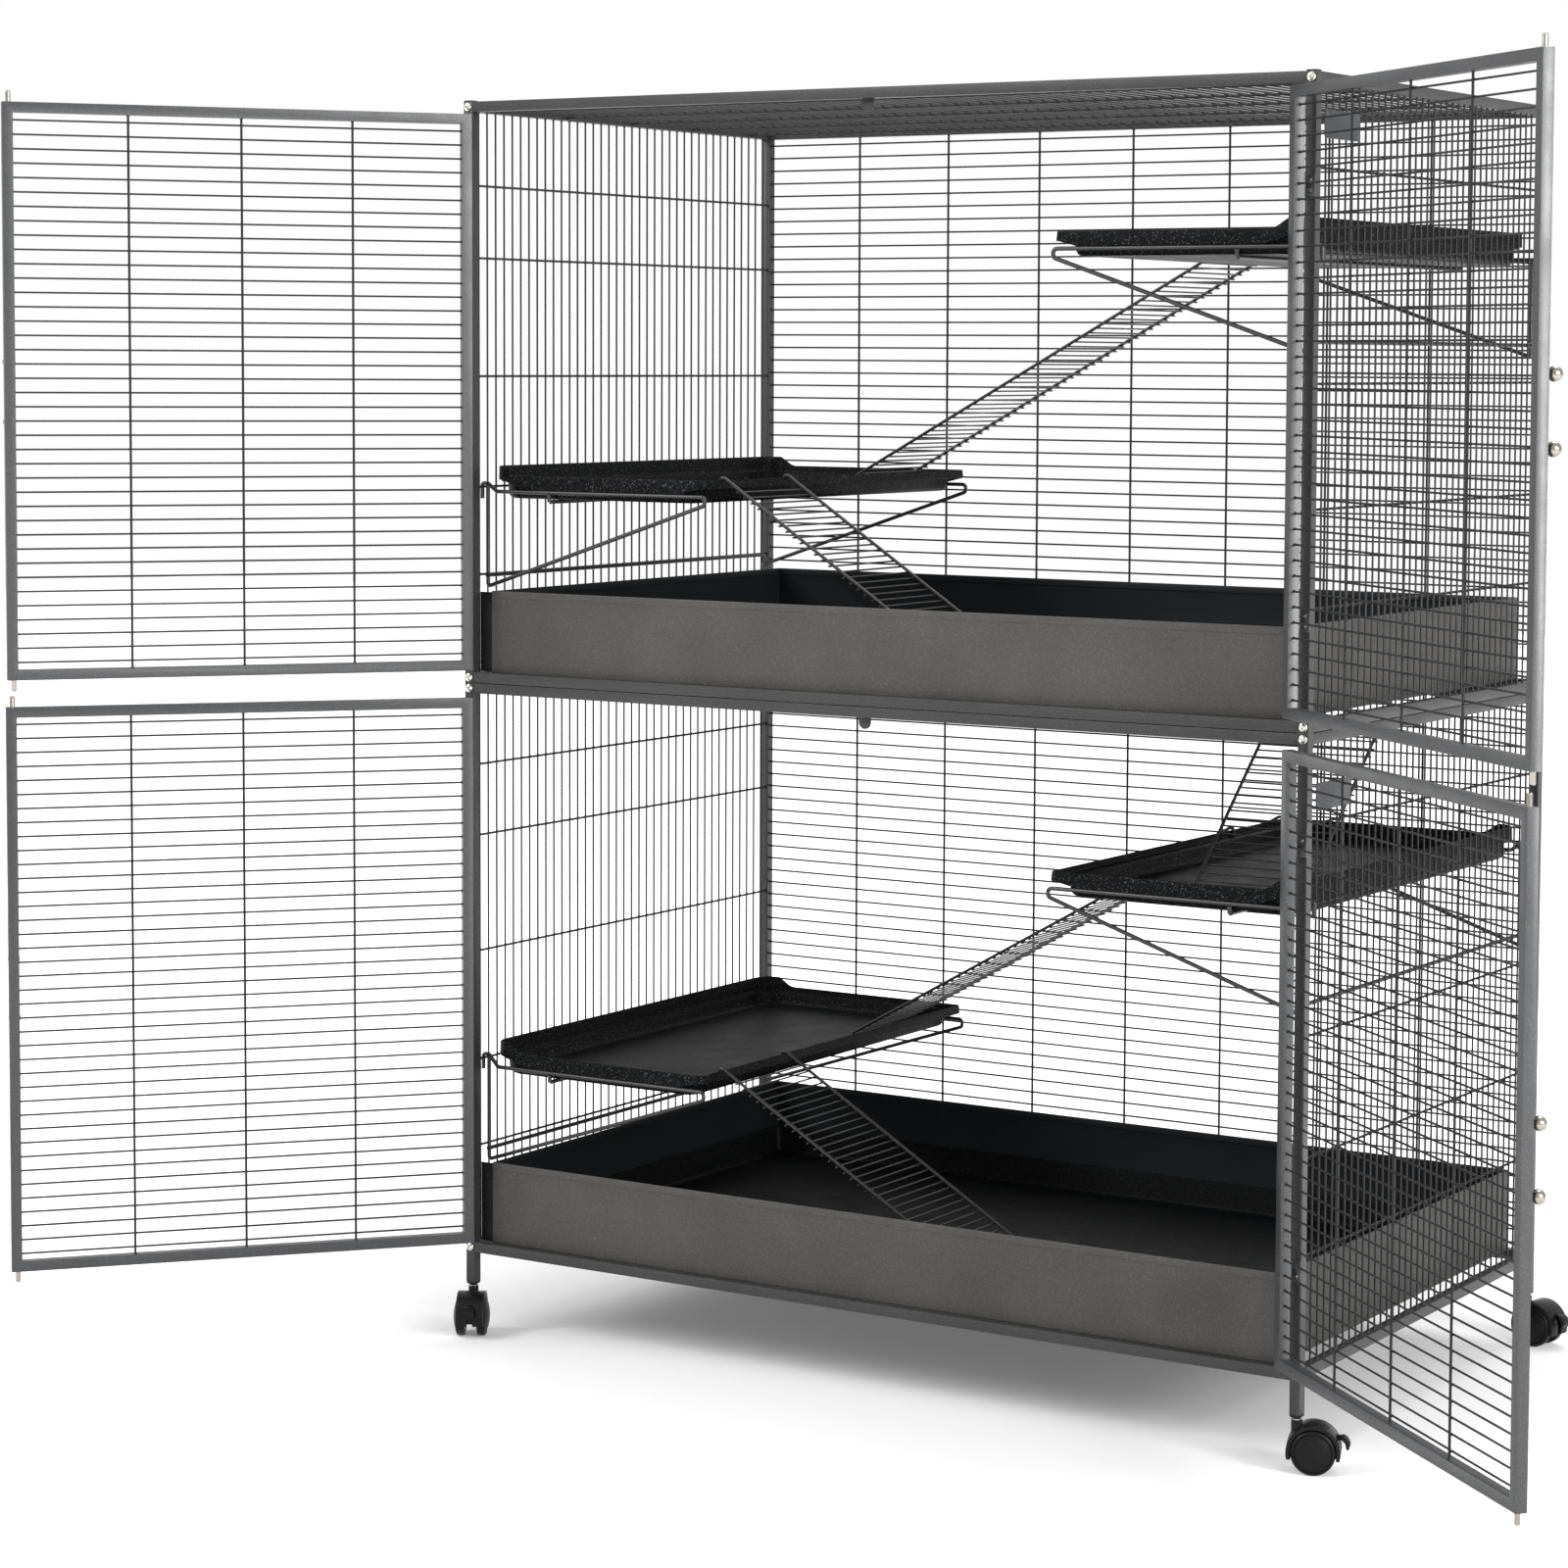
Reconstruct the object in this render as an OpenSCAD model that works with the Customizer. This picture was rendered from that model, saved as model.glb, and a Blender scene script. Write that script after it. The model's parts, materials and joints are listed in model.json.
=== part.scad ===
/* [Frame] */
// Width over the frame tubes
cage_w = 1150; // [1000:1:1250]
// Depth over the frame tubes
cage_d = 675; // [600:1:750]
// Height of one tier's frame
tier_h = 713.5; // [690:0.5:740]
// Gap between the two tiers' frames
tier_gap = 1; // [0.6:0.1:2]
// Height of the lowest rail above the floor
base_z = 102; // [98:0.5:115]
// Side of the square tube
tube = 12.5; // [12:0.1:14]
// Wall of the square tube
tube_wall = 1.2; // [1:0.1:1.6]
// How far a leg reaches below the lowest rail
leg_drop = 38; // [33:0.5:40]
// How far a plastic cap stands out past its tube
cap_lip = 0.3; // [0.2:0.1:1]
// Thickness of a post's top cap
cap_t = 1.6; // [1:0.1:3]
// Width of the round door stop under the middle of a top rail
stop_w = 16; // [10:1:20]
// How far the door stop hangs below the rail
stop_drop = 14.5; // [10:0.5:18]
// How far the door stop laps up the rail
stop_lap = 4.5; // [3:0.1:4.7]
// Sheet thickness of the door stop
stop_t = 2; // [1:0.1:3]

/* [Wire mesh] */
// Diameter of a mesh wire
wire_d = 2.4; // [2:0.1:2.8]
// Diameter of a cross wire
cross_d = 3; // [2.4:0.1:3.4]
// Wanted pitch of the mesh wires
mesh_pitch = 17; // [15:0.1:19]
// Heights of the lower side cross wires above their tier's foot
low_cross_z = [133, 241.5];
// Distances of the upper side cross wires below their tier's top
high_cross_drop = [335.5, 190.5, 102];
// Pitch of the cross wires on the back and the top
panel_cross_pitch = 139.5; // [120:0.5:160]
// Weld gap that keeps two wires apart
weld_gap = 0.1; // [0.05:0.01:0.2]
// Width of the bare plate on a right side panel
plate_w = 88; // [60:1:100]
// Height of the bare plate
plate_h = 31; // [20:1:35]
// Thickness of the bare plate
plate_t = 1.4; // [1:0.1:1.6]
// Distance of the bare plate from the front post
plate_edge_y = 18; // [10:1:60]
// Distances of the bare plates' upper edges below their tier's top
plate_drop = [56.5, 39];

/* [Doors] */
// Opening angles: upper left, upper right, lower left, lower right
door_angle = [129.3, 140.4, 131.4, 140.1];
// Gap between a door's hinge edge and its post
door_side_gap = 0.9; // [0.5:0.1:2]
// Half the gap between two closed doors
door_mid_gap = 0.6; // [0.4:0.1:1.5]
// Gap above and below a closed door
door_end_gap = 3.9; // [3:0.1:6]
// Distance from the frame's front face to the hinge axis
hinge_out = 4.6; // [4.2:0.1:6]
// Distance of a hinge's middle from its tier's foot or top
hinge_from_end = 122; // [80:1:160]
// Outer diameter of a hinge knuckle
knuckle_d = 6; // [5:0.1:7]
// Height of one hinge knuckle
knuckle_h = 8; // [6:0.5:12]
// Diameter of the hinge pin
hinge_pin_d = 3; // [2.4:0.1:3.6]
// Thickness of a hinge leaf
leaf_t = 1.4; // [1:0.1:1.5]
// Diameter of a screw head on a hinge leaf
screw_d = 5; // [4:0.1:6]
// Distance between the two screws of a leaf
screw_gap = 11; // [8:0.5:16]
// Radial running clearance of pins and shafts
run_gap = 0.05; // [0.02:0.01:0.1]
// Clearance between faces that slide past each other
slide_gap = 0.3; // [0.2:0.05:0.5]
// Upright cross wires in a door
door_cross_count = 3; // [2:1:5]

/* [Door bolts] */
// Diameter of a bolt rod
rod_d = 6; // [5:0.1:7]
// How far a rod stands out of its door
rod_out = 13.5; // [9:0.5:16]
// How far a rod draws back
rod_travel = 13; // [8:0.5:15]
// Offset of the rods from the stile's middle towards the hinge
rod_shift = 1.4; // [1.2:0.1:1.5]
// Height of a knob above or below the door's middle
knob_z = 35.5; // [30:0.5:60]
// Diameter of the ball knob
knob_d = 15.5; // [12:0.5:16]
// Diameter of the knob's neck
neck_d = 4.6; // [4:0.1:5.5]
// Distance from the door's face to the ball's middle
knob_out = 10; // [9:0.5:12]
// How far a rod reaches past its knob
rod_tail = 12; // [6:1:20]
// Height of a stile's end plug
plug_h = 8; // [5:0.5:12]

/* [Pans] */
// Height of a pan's rim above its tier's foot
pan_rim_z = 113.5; // [100:0.5:114]
// Gap between a pan and the front or back rail
pan_gap = 1; // [0.5:0.1:3]
// Gap between a pan's end wall and the frame
pan_end_gap = 17.5; // [12.5:0.5:40]
// Gap between a pan's front wall and the posts beside it
pan_post_gap = 1; // [0.5:0.5:5]
// Sheet thickness of a pan
pan_t = 1.2; // [0.8:0.1:2]
// Height of the plastic liner in a pan
liner_h = 38; // [20:1:60]
// Wall of the plastic liner
liner_t = 2.5; // [2:0.1:4]
// Gap between a liner and its pan
liner_gap = 2; // [1:0.1:4]
// Distance of the bars under a pan from the cage's middle
floor_bar_x = 275; // [200:1:350]
// Distance of the hatch from the pan's end wall
hatch_edge = 15; // [12:0.5:30]
// Width of the hatch
hatch_w = 165; // [150:1:165]
// Back edge of the hatch
hatch_back_y = 34; // [20:1:60]
// Length of the hatch, front to back
hatch_l = 190; // [150:1:220]
// Height of the lip round the hatch
hatch_lip_h = 12; // [8:0.5:20]
// Thickness of the hemmed lip
hatch_lip_t = 2.4; // [2:0.1:3]

/* [Shelves] */
// Width of a shelf tray
shelf_w = 320; // [280:1:340]
// Depth of a shelf tray
shelf_d = 619; // [590:1:625]
// Gap between a shelf tray and the frame
shelf_gap = 5; // [3.5:0.5:12]
// Height of a tray's rim band over its support wire
rim_h = 17; // [12:0.5:22]
// Height of the rim band on the free side
free_rim_h = 11; // [8:0.5:14]
// Depth of a tray below its rim
tray_depth = 28; // [22:0.5:40]
// Depth of the ledge inside the rim
ledge_depth = 7.5; // [5:0.5:7.5]
// Wall of a tray
tray_t = 3; // [2:0.1:4]
// Height of the splash wall above the rim
splash_h = 12; // [6:0.5:25]
// How far the splash wall runs round the corners
splash_return = 29; // [29:1:80]
// Length over which the splash wall comes down to the rim
splash_ramp = 23; // [10:1:40]
// Corner radius of a tray on the mesh side
mesh_corner = 27; // [22:0.5:29]
// Corner radius of a tray's rim on the free side
free_corner = 9; // [6:0.5:12]
// Corner radius of a tray's sunk body
body_corner = 20; // [15:0.5:24]
// Step of the tray's floor in from its rim on the free side
free_step = 17; // [12:0.5:25]
// Step of the tray's floor in from its rim on the other sides
side_step = 6; // [5.5:0.1:10]
// Number of the cross wire that holds a left shelf, counted from 0
left_hook = 1; // [0:1:2]
// Number of the cross wire that holds a right shelf
right_hook = 3; // [3:1:4]
// How far a support's wire dips below its hook: lower left, lower right
lower_dip = [15, 11];
// How far a support's wire dips below its hook: upper left, upper right
upper_dip = [10, 0];

/* [Shelf supports] */
// Diameter of the support wire
support_d = 5; // [4:0.1:5.5]
// Bend radius of the support wire at the mesh
support_bend = 3.2; // [3:0.1:3.8]
// Bend radius of the support wire at the free side
free_bend = 5; // [4:0.1:6]
// How far the support wire reaches past the tray's free edge
free_reach = 3; // [0:0.5:6]
// Height from the top wire down to the brace's foot
brace_drop = 118; // [113:1:118]
// Height from the top wire down to the wire along the mesh
low_wire_drop = 104; // [60:1:104]
// Distance of the wire under a tray from the tray's outer edge
under_wire_x = 90; // [60:1:150]
// Height from the top wire down to the wire under a tray
under_wire_drop = 11.2; // [11.2:0.2:40]
// How far a hook reaches down outside the mesh
hook_drop = 19; // [10:0.5:22]
// Wanted distance of a support's end frames from the tray's ends
support_inset = 1.6; // [1:0.1:8]

/* [Ladders] */
// Diameter of a ladder's side wire
rail_d = 4; // [3:0.1:5]
// Diameter of a rung
rung_d = 2.2; // [1.8:0.1:3]
// Distance between a ladder's side wires
ladder_w = 140; // [110:1:145]
// Pitch of the rungs
rung_pitch = 12; // [10:0.5:20]
// Distance of the first rung from the ladder's top bend
rung_first = 26; // [20:0.5:40]
// Length of the hook behind the rim
ladder_hook = 9; // [8:0.5:10]
// Bend radius of the side wires
ladder_bend = 2.6; // [2.6:0.1:3]
// How far a rung stands out past the side wires
rung_over = 4; // [2:0.5:6]
// How far the floor ladders run out from their shelf: lower, upper
floor_run = [401.5, 374.5];
// How far the shelf ladders' feet lie inside the left shelf: lower, upper
shelf_landing = [80.5, 110];
// Distance of the hatch ladder's foot from its shelf's front edge
hatch_landing = 83; // [40:1:120]
// Distance of the floor ladders from their shelf's front edge
floor_ladder_edge = 44.5; // [20:0.5:60]
// Distance of the shelf ladders' front wire from their shelf's back edge
shelf_ladder_edge = 156.5; // [154.5:0.5:200]

/* [Bolts and casters] */
// Diameter of a frame bolt's head
head_d = 10.5; // [8:0.1:11.5]
// Height of a frame bolt's head
head_h = 3; // [2:0.1:4]
// Diameter of a frame bolt's shank
shank_d = 5; // [4:0.1:6]
// Length of a frame bolt's shank
shank_l = 24; // [18:0.5:30]
// Diameter of a caster wheel
wheel_d = 50; // [45:0.5:54]
// Tread width of one wheel
tread_w = 10.5; // [8:0.5:11]
// Gap between the two wheels of a caster
wheel_gap = 16; // [14:0.5:20]
// Rounded edge of a wheel
wheel_edge = 2; // [1:0.1:3]
// How far a wheel's cover bulges past its tread
cover_bulge = 4; // [1:0.5:5]
// Distance of the axle behind the swivel axis
trail = 19; // [14:0.5:24]
// Axle diameter
axle_d = 5; // [4:0.1:6]
// Gap between the wheel and its hood
hood_gap = 1.2; // [0.8:0.1:3]
// Wall of the hood
hood_t = 4; // [3:0.1:6]
// Diameter of the swivel stem
stem_d = 7; // [6:0.1:8]
// Height of the stem above the neck
stem_l = 22; // [15:0.5:30]
// Diameter of the hood's neck
neck_boss_d = 12.5; // [11:0.1:14]
// Diameter of the collar on the hood's neck
washer_d = 10; // [8.5:0.5:12]
// Height of the collar
washer_h = 1.4; // [1:0.1:3]
// Gap between the collar and the foot cap
neck_gap = 0.5; // [0.3:0.1:1]
// Half the width of the brake lever's arm
brake_half = 3.4; // [3:0.1:4.8]
// Half the width of the brake lever's pedal
pedal_half = 6.6; // [5:0.1:6.8]
// Thickness of the brake lever's arm
brake_arm = 5; // [4:0.1:5.4]
// Length of the brake lever's arm
brake_l = 12; // [12:0.5:14]
// Radius of the pedal's bend
pedal_bend = 7.5; // [7:0.5:9]
// Length of the pedal below its bend
pedal_tip = 4.5; // [3:0.5:7]
// Thickness of the pedal at its tip
pedal_tip_t = 2.4; // [2:0.1:3]
// Diameter of the grip ribs on the pedal
pedal_rib_d = 1; // [0.6:0.1:1.4]
// Diameter of the brake lever's pin
brake_pin_d = 2; // [1.6:0.1:2.4]
// Swivel directions of the casters: front left, front right, back left, back right
caster_turn = [-59, 22, -12, -12];

/* [Hidden] */
$fn = 48;

half_w = cage_w / 2;
half_d = cage_d / 2;
in_w = half_w - tube;
in_d = half_d - tube;
bore = tube - 2 * tube_wall;
top_z = base_z + 2 * tier_h + tier_gap;
leg_z = base_z - leg_drop;
cap_foot_h = 4;
cap_plug_h = 24;
cap_chamfer = 2;
fit_gap = 0.1;
shelf_edge_x = in_w - shelf_gap;
pan_half_w = in_w - pan_end_gap;
hatch_x = pan_half_w - hatch_edge - hatch_w / 2;

steel = "#4b4b4a";
plastic = "#1c1c1d";
nickel = "#c9c5bd";

function foot_z(tier) = base_z + tier * (tier_h + tier_gap);
function in_foot_z(tier) = foot_z(tier) + tube;
function in_top_z(tier) = foot_z(tier) + tier_h - tube;
function cross_levels() = concat(low_cross_z, [for (drop = high_cross_drop) tier_h - drop]);
function count(length) = round(length / mesh_pitch);
function flip(side) = side > 0 ? 0 : 1;

// A square tube along X, from its corner
module tube_x(length) {
    difference() {
        cube([length, tube, tube]);
        translate([-1, tube_wall, tube_wall]) cube([length + 2, bore, bore]);
    }
}

module tube_y(length) {
    translate([tube, 0, 0]) rotate([0, 0, 90]) tube_x(length);
}

module tube_z(length) {
    translate([0, 0, length]) rotate([0, 90, 0]) tube_x(length);
}

module bar_x(length, d) {
    rotate([0, 90, 0]) cylinder(h = length, d = d, center = true);
}

module bar_y(length, d) {
    rotate([90, 0, 0]) cylinder(h = length, d = d, center = true);
}

// Wire along a path in the XZ plane. Each corner is rounded to an arc, with one radius for
// all or a list of them, and each ring of the wire stands on the bisector of its two stretches.
function heading(p, i) = let (v = p[i + 1] - p[i]) atan2(v[1], v[0]);
function turn(p, i) =
    let (a = p[i] - p[i - 1], b = p[i + 1] - p[i])
    atan2(a[0] * b[1] - a[1] * b[0], a * b);
function spun(v, a) = [v[0] * cos(a) - v[1] * sin(a), v[0] * sin(a) + v[1] * cos(a)];
function corner(p, i, r) =
    let (
        t = turn(p, i),
        along = spun([1, 0], heading(p, i - 1)),
        first = p[i] - along * r * tan(abs(t) / 2),
        middle = first + spun(along, 90) * r * sign(t),
        steps = ceil(abs(t) / 30)
    )
    abs(t) < 1 ? [p[i]] : [for (k = [0 : steps]) middle + spun(first - middle, t * k / steps)];
function rounded(p, bends) = [
    p[0],
    for (i = [1 : len(p) - 2]) each corner(p, i, is_list(bends) ? bends[i - 1] : bends),
    p[len(p) - 1]
];
function half_turn(p, i) = i == 0 || i == len(p) - 1 ? 0 : turn(p, i) / 2;
function ring_dir(p, i) = i == 0 ? heading(p, 0) : heading(p, i - 1) + half_turn(p, i);

module bent_wire(corners, d, bends, sides = 8) {
    path = rounded(corners, bends);
    last = len(path) - 1;
    points = [
        for (i = [0 : last])
        let (a = ring_dir(path, i), k = 1 / cos(half_turn(path, i)))
        for (j = [0 : sides - 1])
        let (b = 360 * (j + 0.5) / sides, out = d / 2 * cos(b) * k)
        [path[i][0] - out * sin(a), d / 2 * sin(b), path[i][1] + out * cos(a)]
    ];
    walls = [
        for (i = [0 : last - 1])
        for (j = [0 : sides - 1])
        let (n = (j + 1) % sides)
        [i * sides + n, (i + 1) * sides + n, (i + 1) * sides + j, i * sides + j]
    ];
    head = [for (j = [sides - 1 : -1 : 0]) j];
    tail = [for (j = [0 : sides - 1]) last * sides + j];
    polyhedron(points = points, faces = concat([head], walls, [tail]), convexity = 6);
}

// Posts, with a hole through both walls for each frame bolt
function bolt_levels() = [
    for (tier = [0, 1])
    for (z = [tube / 2, tier_h - tube / 2])
    foot_z(tier) + z
];

module post(side, back) {
    color(steel)
    translate([side * (half_w - tube / 2), back * (half_d - tube / 2), 0])
    difference() {
        translate([-tube / 2, -tube / 2, leg_z]) tube_z(top_z - leg_z);
        for (z = bolt_levels())
            translate([0, 0, z]) bar_y(tube + 2, shank_d + 2 * fit_gap);
    }
}

module top_cap() {
    size = tube + 2 * cap_lip;
    plug = bore - 2 * fit_gap;
    depth = tube / 2 - shank_d / 2 - slide_gap;
    translate([0, 0, cap_t / 2]) cube([size, size, cap_t], center = true);
    translate([0, 0, -depth / 2]) cube([plug, plug, depth], center = true);
}

// Bar along Y whose lower edges are cut off
module chamfered_bar(size) {
    half = size / 2;
    rotate([90, 0, 0]) linear_extrude(size, center = true)
        polygon([
            [-half, 0], [-half, -cap_foot_h / 2], [cap_chamfer - half, -cap_foot_h],
            [half - cap_chamfer, -cap_foot_h], [half, -cap_foot_h / 2], [half, 0]
        ]);
}

// The foot cap carries the caster's stem in its bore
module foot_cap() {
    size = tube + 2 * cap_lip;
    plug = bore - 2 * fit_gap;
    difference() {
        union() {
            intersection() {
                chamfered_bar(size);
                rotate([0, 0, 90]) chamfered_bar(size);
            }
            translate([0, 0, cap_plug_h / 2]) cube([plug, plug, cap_plug_h], center = true);
        }
        translate([0, 0, -cap_foot_h - 1])
            cylinder(h = cap_plug_h + cap_foot_h + 2, r = stem_d / 2 + run_gap);
    }
}

module post_caps() {
    color(plastic)
    for (side = [-1, 1], back = [-1, 1])
        translate([side * (half_w - tube / 2), back * (half_d - tube / 2), 0]) {
            translate([0, 0, top_z]) top_cap();
            translate([0, 0, leg_z]) foot_cap();
        }
}

// Level 0 to 3: foot and top of the lower tier, foot and top of the upper tier
function rail_z(level) = foot_z(floor(level / 2)) + (level % 2) * (tier_h - tube);
function rod_x() = door_mid_gap + tube / 2 + rod_shift;

module front_rail(level) {
    is_top = level % 2;
    wall_z = is_top == 1 ? 0 : tube - tube_wall;
    difference() {
        translate([-in_w, -half_d, 0]) tube_x(2 * in_w);
        for (side = [-1, 1])
            translate([side * rod_x(), -in_d - tube / 2, wall_z - 1])
                cylinder(h = tube_wall + 2, d = rod_d + 2 * slide_gap);
    }
    if (is_top == 1) door_stop();
}

// Half-round tab behind the rail's inner face
module door_stop() {
    round_z = stop_w / 2 - stop_drop;
    translate([0, slide_gap - in_d, 0]) {
        translate([-stop_w / 2, 0, round_z]) cube([stop_w, stop_t, stop_lap - round_z]);
        translate([0, stop_t / 2, round_z]) bar_y(stop_t, stop_w);
    }
}

module rails(level) {
    color(steel)
    translate([0, 0, rail_z(level)]) {
        front_rail(level);
        translate([-in_w, in_d, 0]) tube_x(2 * in_w);
        for (x = [-half_w, in_w])
            translate([x, weld_gap - in_d, 0]) tube_y(2 * (in_d - weld_gap));
        if (level % 2 == 0)
            for (x = [-floor_bar_x, floor_bar_x])
                translate([x - tube / 2, weld_gap - in_d, 0]) tube_y(2 * (in_d - weld_gap));
    }
}

// Wire panels: the mesh wires lie in the tube's middle plane, the cross wires inside it
mesh_off = tube / 2;
cross_off = mesh_off + wire_d / 2 + cross_d / 2 + weld_gap - tube / 2;

module mesh_back(tier) {
    room = in_top_z(tier) - in_foot_z(tier);
    n = count(room);
    last = floor((in_w - tube) / panel_cross_pitch);
    y = half_d - mesh_off;
    color(steel) {
        for (i = [0 : n - 1])
            translate([0, y, in_foot_z(tier) + (i + 0.5) * room / n])
                bar_x(2 * (in_w - weld_gap), wire_d);
        for (i = [-last : last])
            translate([i * panel_cross_pitch, in_d + tube / 2 - cross_off, in_foot_z(tier) + room / 2])
                cylinder(h = room - 2 * weld_gap, d = cross_d, center = true);
    }
}

module mesh_side(tier, side) {
    room = in_top_z(tier) - in_foot_z(tier);
    n = count(2 * in_d);
    x = side * (half_w - mesh_off);
    color(steel) {
        for (i = [0 : n - 1])
            translate([x, -in_d + (i + 0.5) * 2 * in_d / n, in_foot_z(tier) + room / 2])
                cylinder(h = room - 2 * weld_gap, d = wire_d, center = true);
        for (z = cross_levels())
            translate([side * (in_w + tube / 2 - cross_off), 0, foot_z(tier) + z])
                bar_y(2 * (in_d - weld_gap), cross_d);
    }
}

module mesh_top() {
    n = count(2 * in_w);
    last = floor((in_d - tube) / panel_cross_pitch);
    z = top_z - mesh_off;
    color(steel) {
        for (i = [0 : n - 1])
            translate([-in_w + (i + 0.5) * 2 * in_w / n, 0, z]) bar_y(2 * (in_d - weld_gap), wire_d);
        for (i = [-last : last])
            translate([0, i * panel_cross_pitch, z - cross_off]) bar_x(2 * (in_w - weld_gap), cross_d);
    }
}

// Bare plates on the outer side of the right side panels' mesh wires
module side_plates() {
    face = in_w + tube / 2 + wire_d / 2 + weld_gap;
    color(plastic)
    for (tier = [0, 1])
        translate([face, plate_edge_y - in_d, foot_z(tier) + tier_h - plate_drop[tier] - plate_h])
            cube([plate_t, plate_w, plate_h]);
}

// Pans and liners
pan_d = 2 * (in_d - pan_gap);
liner_w = 2 * (pan_half_w - pan_t - liner_gap);
liner_d = pan_d - 2 * (pan_t + liner_gap);
function pan_z(tier) = foot_z(tier) + tube;
function liner_top_z(tier) = pan_z(tier) + pan_t + fit_gap + liner_t;

module hatch(grow, h) {
    translate([hatch_x - hatch_w / 2 - grow, hatch_back_y - hatch_l - grow, -1])
        cube([hatch_w + 2 * grow, hatch_l + 2 * grow, h]);
}

// Four upright sheets inside a rectangle, a weld's gap apart at the corners
module sheet_ring(w, d, h, t, front_w) {
    for (i = [-1, 1]) {
        translate([0, i * (d - t) / 2, h / 2]) cube([i < 0 ? front_w : w, t, h], center = true);
        translate([i * (w - t) / 2, 0, h / 2])
            cube([t, d - 2 * (t + weld_gap), h], center = true);
    }
}

// Pan: a floor sheet with four wall sheets, and a lip round the hatch of the upper one. The front
// wall is longer than the floor and reaches the posts.
module pan(tier) {
    wall_z = pan_t + weld_gap;
    lip_top = liner_top_z(tier) + hatch_lip_h - pan_z(tier);
    color(steel)
    translate([0, 0, pan_z(tier)]) {
        difference() {
            translate([-pan_half_w, -pan_d / 2, 0]) cube([2 * pan_half_w, pan_d, pan_t]);
            if (tier == 1) hatch(0, pan_t + 2);
        }
        translate([0, 0, wall_z])
            sheet_ring(2 * pan_half_w, pan_d, pan_rim_z - tube - wall_z, pan_t,
                2 * (in_w - pan_post_gap));
        if (tier == 1)
            translate([hatch_x, hatch_back_y - hatch_l / 2, wall_z])
                sheet_ring(hatch_w + 2 * hatch_lip_t, hatch_l + 2 * hatch_lip_t,
                    lip_top - wall_z, hatch_lip_t, hatch_w + 2 * hatch_lip_t);
    }
}

module liner(tier) {
    color(plastic)
    translate([0, 0, pan_z(tier) + pan_t + fit_gap])
    difference() {
        translate([-liner_w / 2, -liner_d / 2, 0]) cube([liner_w, liner_d, liner_h]);
        translate([liner_t - liner_w / 2, liner_t - liner_d / 2, liner_t])
            cube([liner_w - 2 * liner_t, liner_d - 2 * liner_t, liner_h]);
        if (tier == 1) hatch(hatch_lip_t + liner_gap, liner_t + 2);
    }
}

// Shelf trays: local X runs from the mesh side to the free side, Z is 0 at the rim
corner_steps = 5;
ramp_steps = 6;

function arc(x, y, r, from) = [
    for (k = [0 : corner_steps])
    let (a = from + 90 * k / corner_steps)
    [x + r * cos(a), y + r * sin(a)]
];

module tray_outline(x0, x1, half, r0, r1) {
    polygon(concat(
        arc(x0 + r0, r0 - half, r0, 180), arc(x1 - r1, r1 - half, r1, 270),
        arc(x1 - r1, half - r1, r1, 0), arc(x0 + r0, half - r0, r0, 90)
    ));
}

// Outline of the rim and outline of the sunk body, both drawn in by an inset
module rim_outline(x1, inset) {
    tray_outline(inset, x1 - inset, shelf_d / 2 - inset, mesh_corner - inset, free_corner - inset);
}

module body_outline(inset) {
    tray_outline(side_step + inset, shelf_w - free_step - inset, shelf_d / 2 - side_step - inset,
        body_corner - inset, body_corner - inset);
}

function hook_no(side) = side > 0 ? right_hook : left_hook;
function dip(tier, side) = (tier == 0 ? lower_dip : upper_dip)[side > 0 ? 1 : 0];
function hook_z(tier, side) =
    foot_z(tier) + cross_levels()[hook_no(side)] + cross_d / 2 + support_d / 2 + slide_gap;
function top_wire_z(tier, side) = hook_z(tier, side) - dip(tier, side);
function rim_z(tier, side) = top_wire_z(tier, side) + support_d / 2 + fit_gap + rim_h;
function tray_floor_z(tier, side) = rim_z(tier, side) - tray_depth + tray_t;

module tray_body() {
    difference() {
        union() {
            translate([0, 0, -free_rim_h]) linear_extrude(free_rim_h) rim_outline(shelf_w, 0);
            translate([0, 0, -rim_h]) linear_extrude(rim_h) rim_outline(shelf_w - free_step, 0);
            translate([0, 0, -tray_depth]) linear_extrude(tray_depth) body_outline(0);
            splash_wall();
        }
        translate([0, 0, -ledge_depth]) linear_extrude(ledge_depth + splash_h + 1)
            rim_outline(shelf_w, tray_t);
        translate([0, 0, tray_t - tray_depth]) linear_extrude(tray_depth) body_outline(tray_t);
    }
}

// Raised wall on the mesh side; it runs round both corners and comes down along a quarter
// of a sine wave, steep first
module splash_wall() {
    half = shelf_d / 2;
    difference() {
        linear_extrude(splash_h) rim_outline(shelf_w, 0);
        translate([0, half + 1, 0]) rotate([90, 0, 0]) linear_extrude(2 * half + 2)
            polygon(concat(
                [[splash_return, splash_h + 1]],
                [
                    for (k = [0 : ramp_steps])
                    let (t = k / ramp_steps)
                    [splash_return + t * splash_ramp, splash_h * (1 - sin(90 * t))]
                ],
                [
                    [splash_return + splash_ramp, -1], [shelf_w + 1, -1],
                    [shelf_w + 1, splash_h + 1]
                ]
            ));
    }
}

module on_side(side) {
    mirror([flip(-side), 0, 0]) children();
}

module tray(tier, side) {
    color(plastic)
    on_side(side) translate([-shelf_edge_x, 0, rim_z(tier, side)]) tray_body();
}

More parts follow.
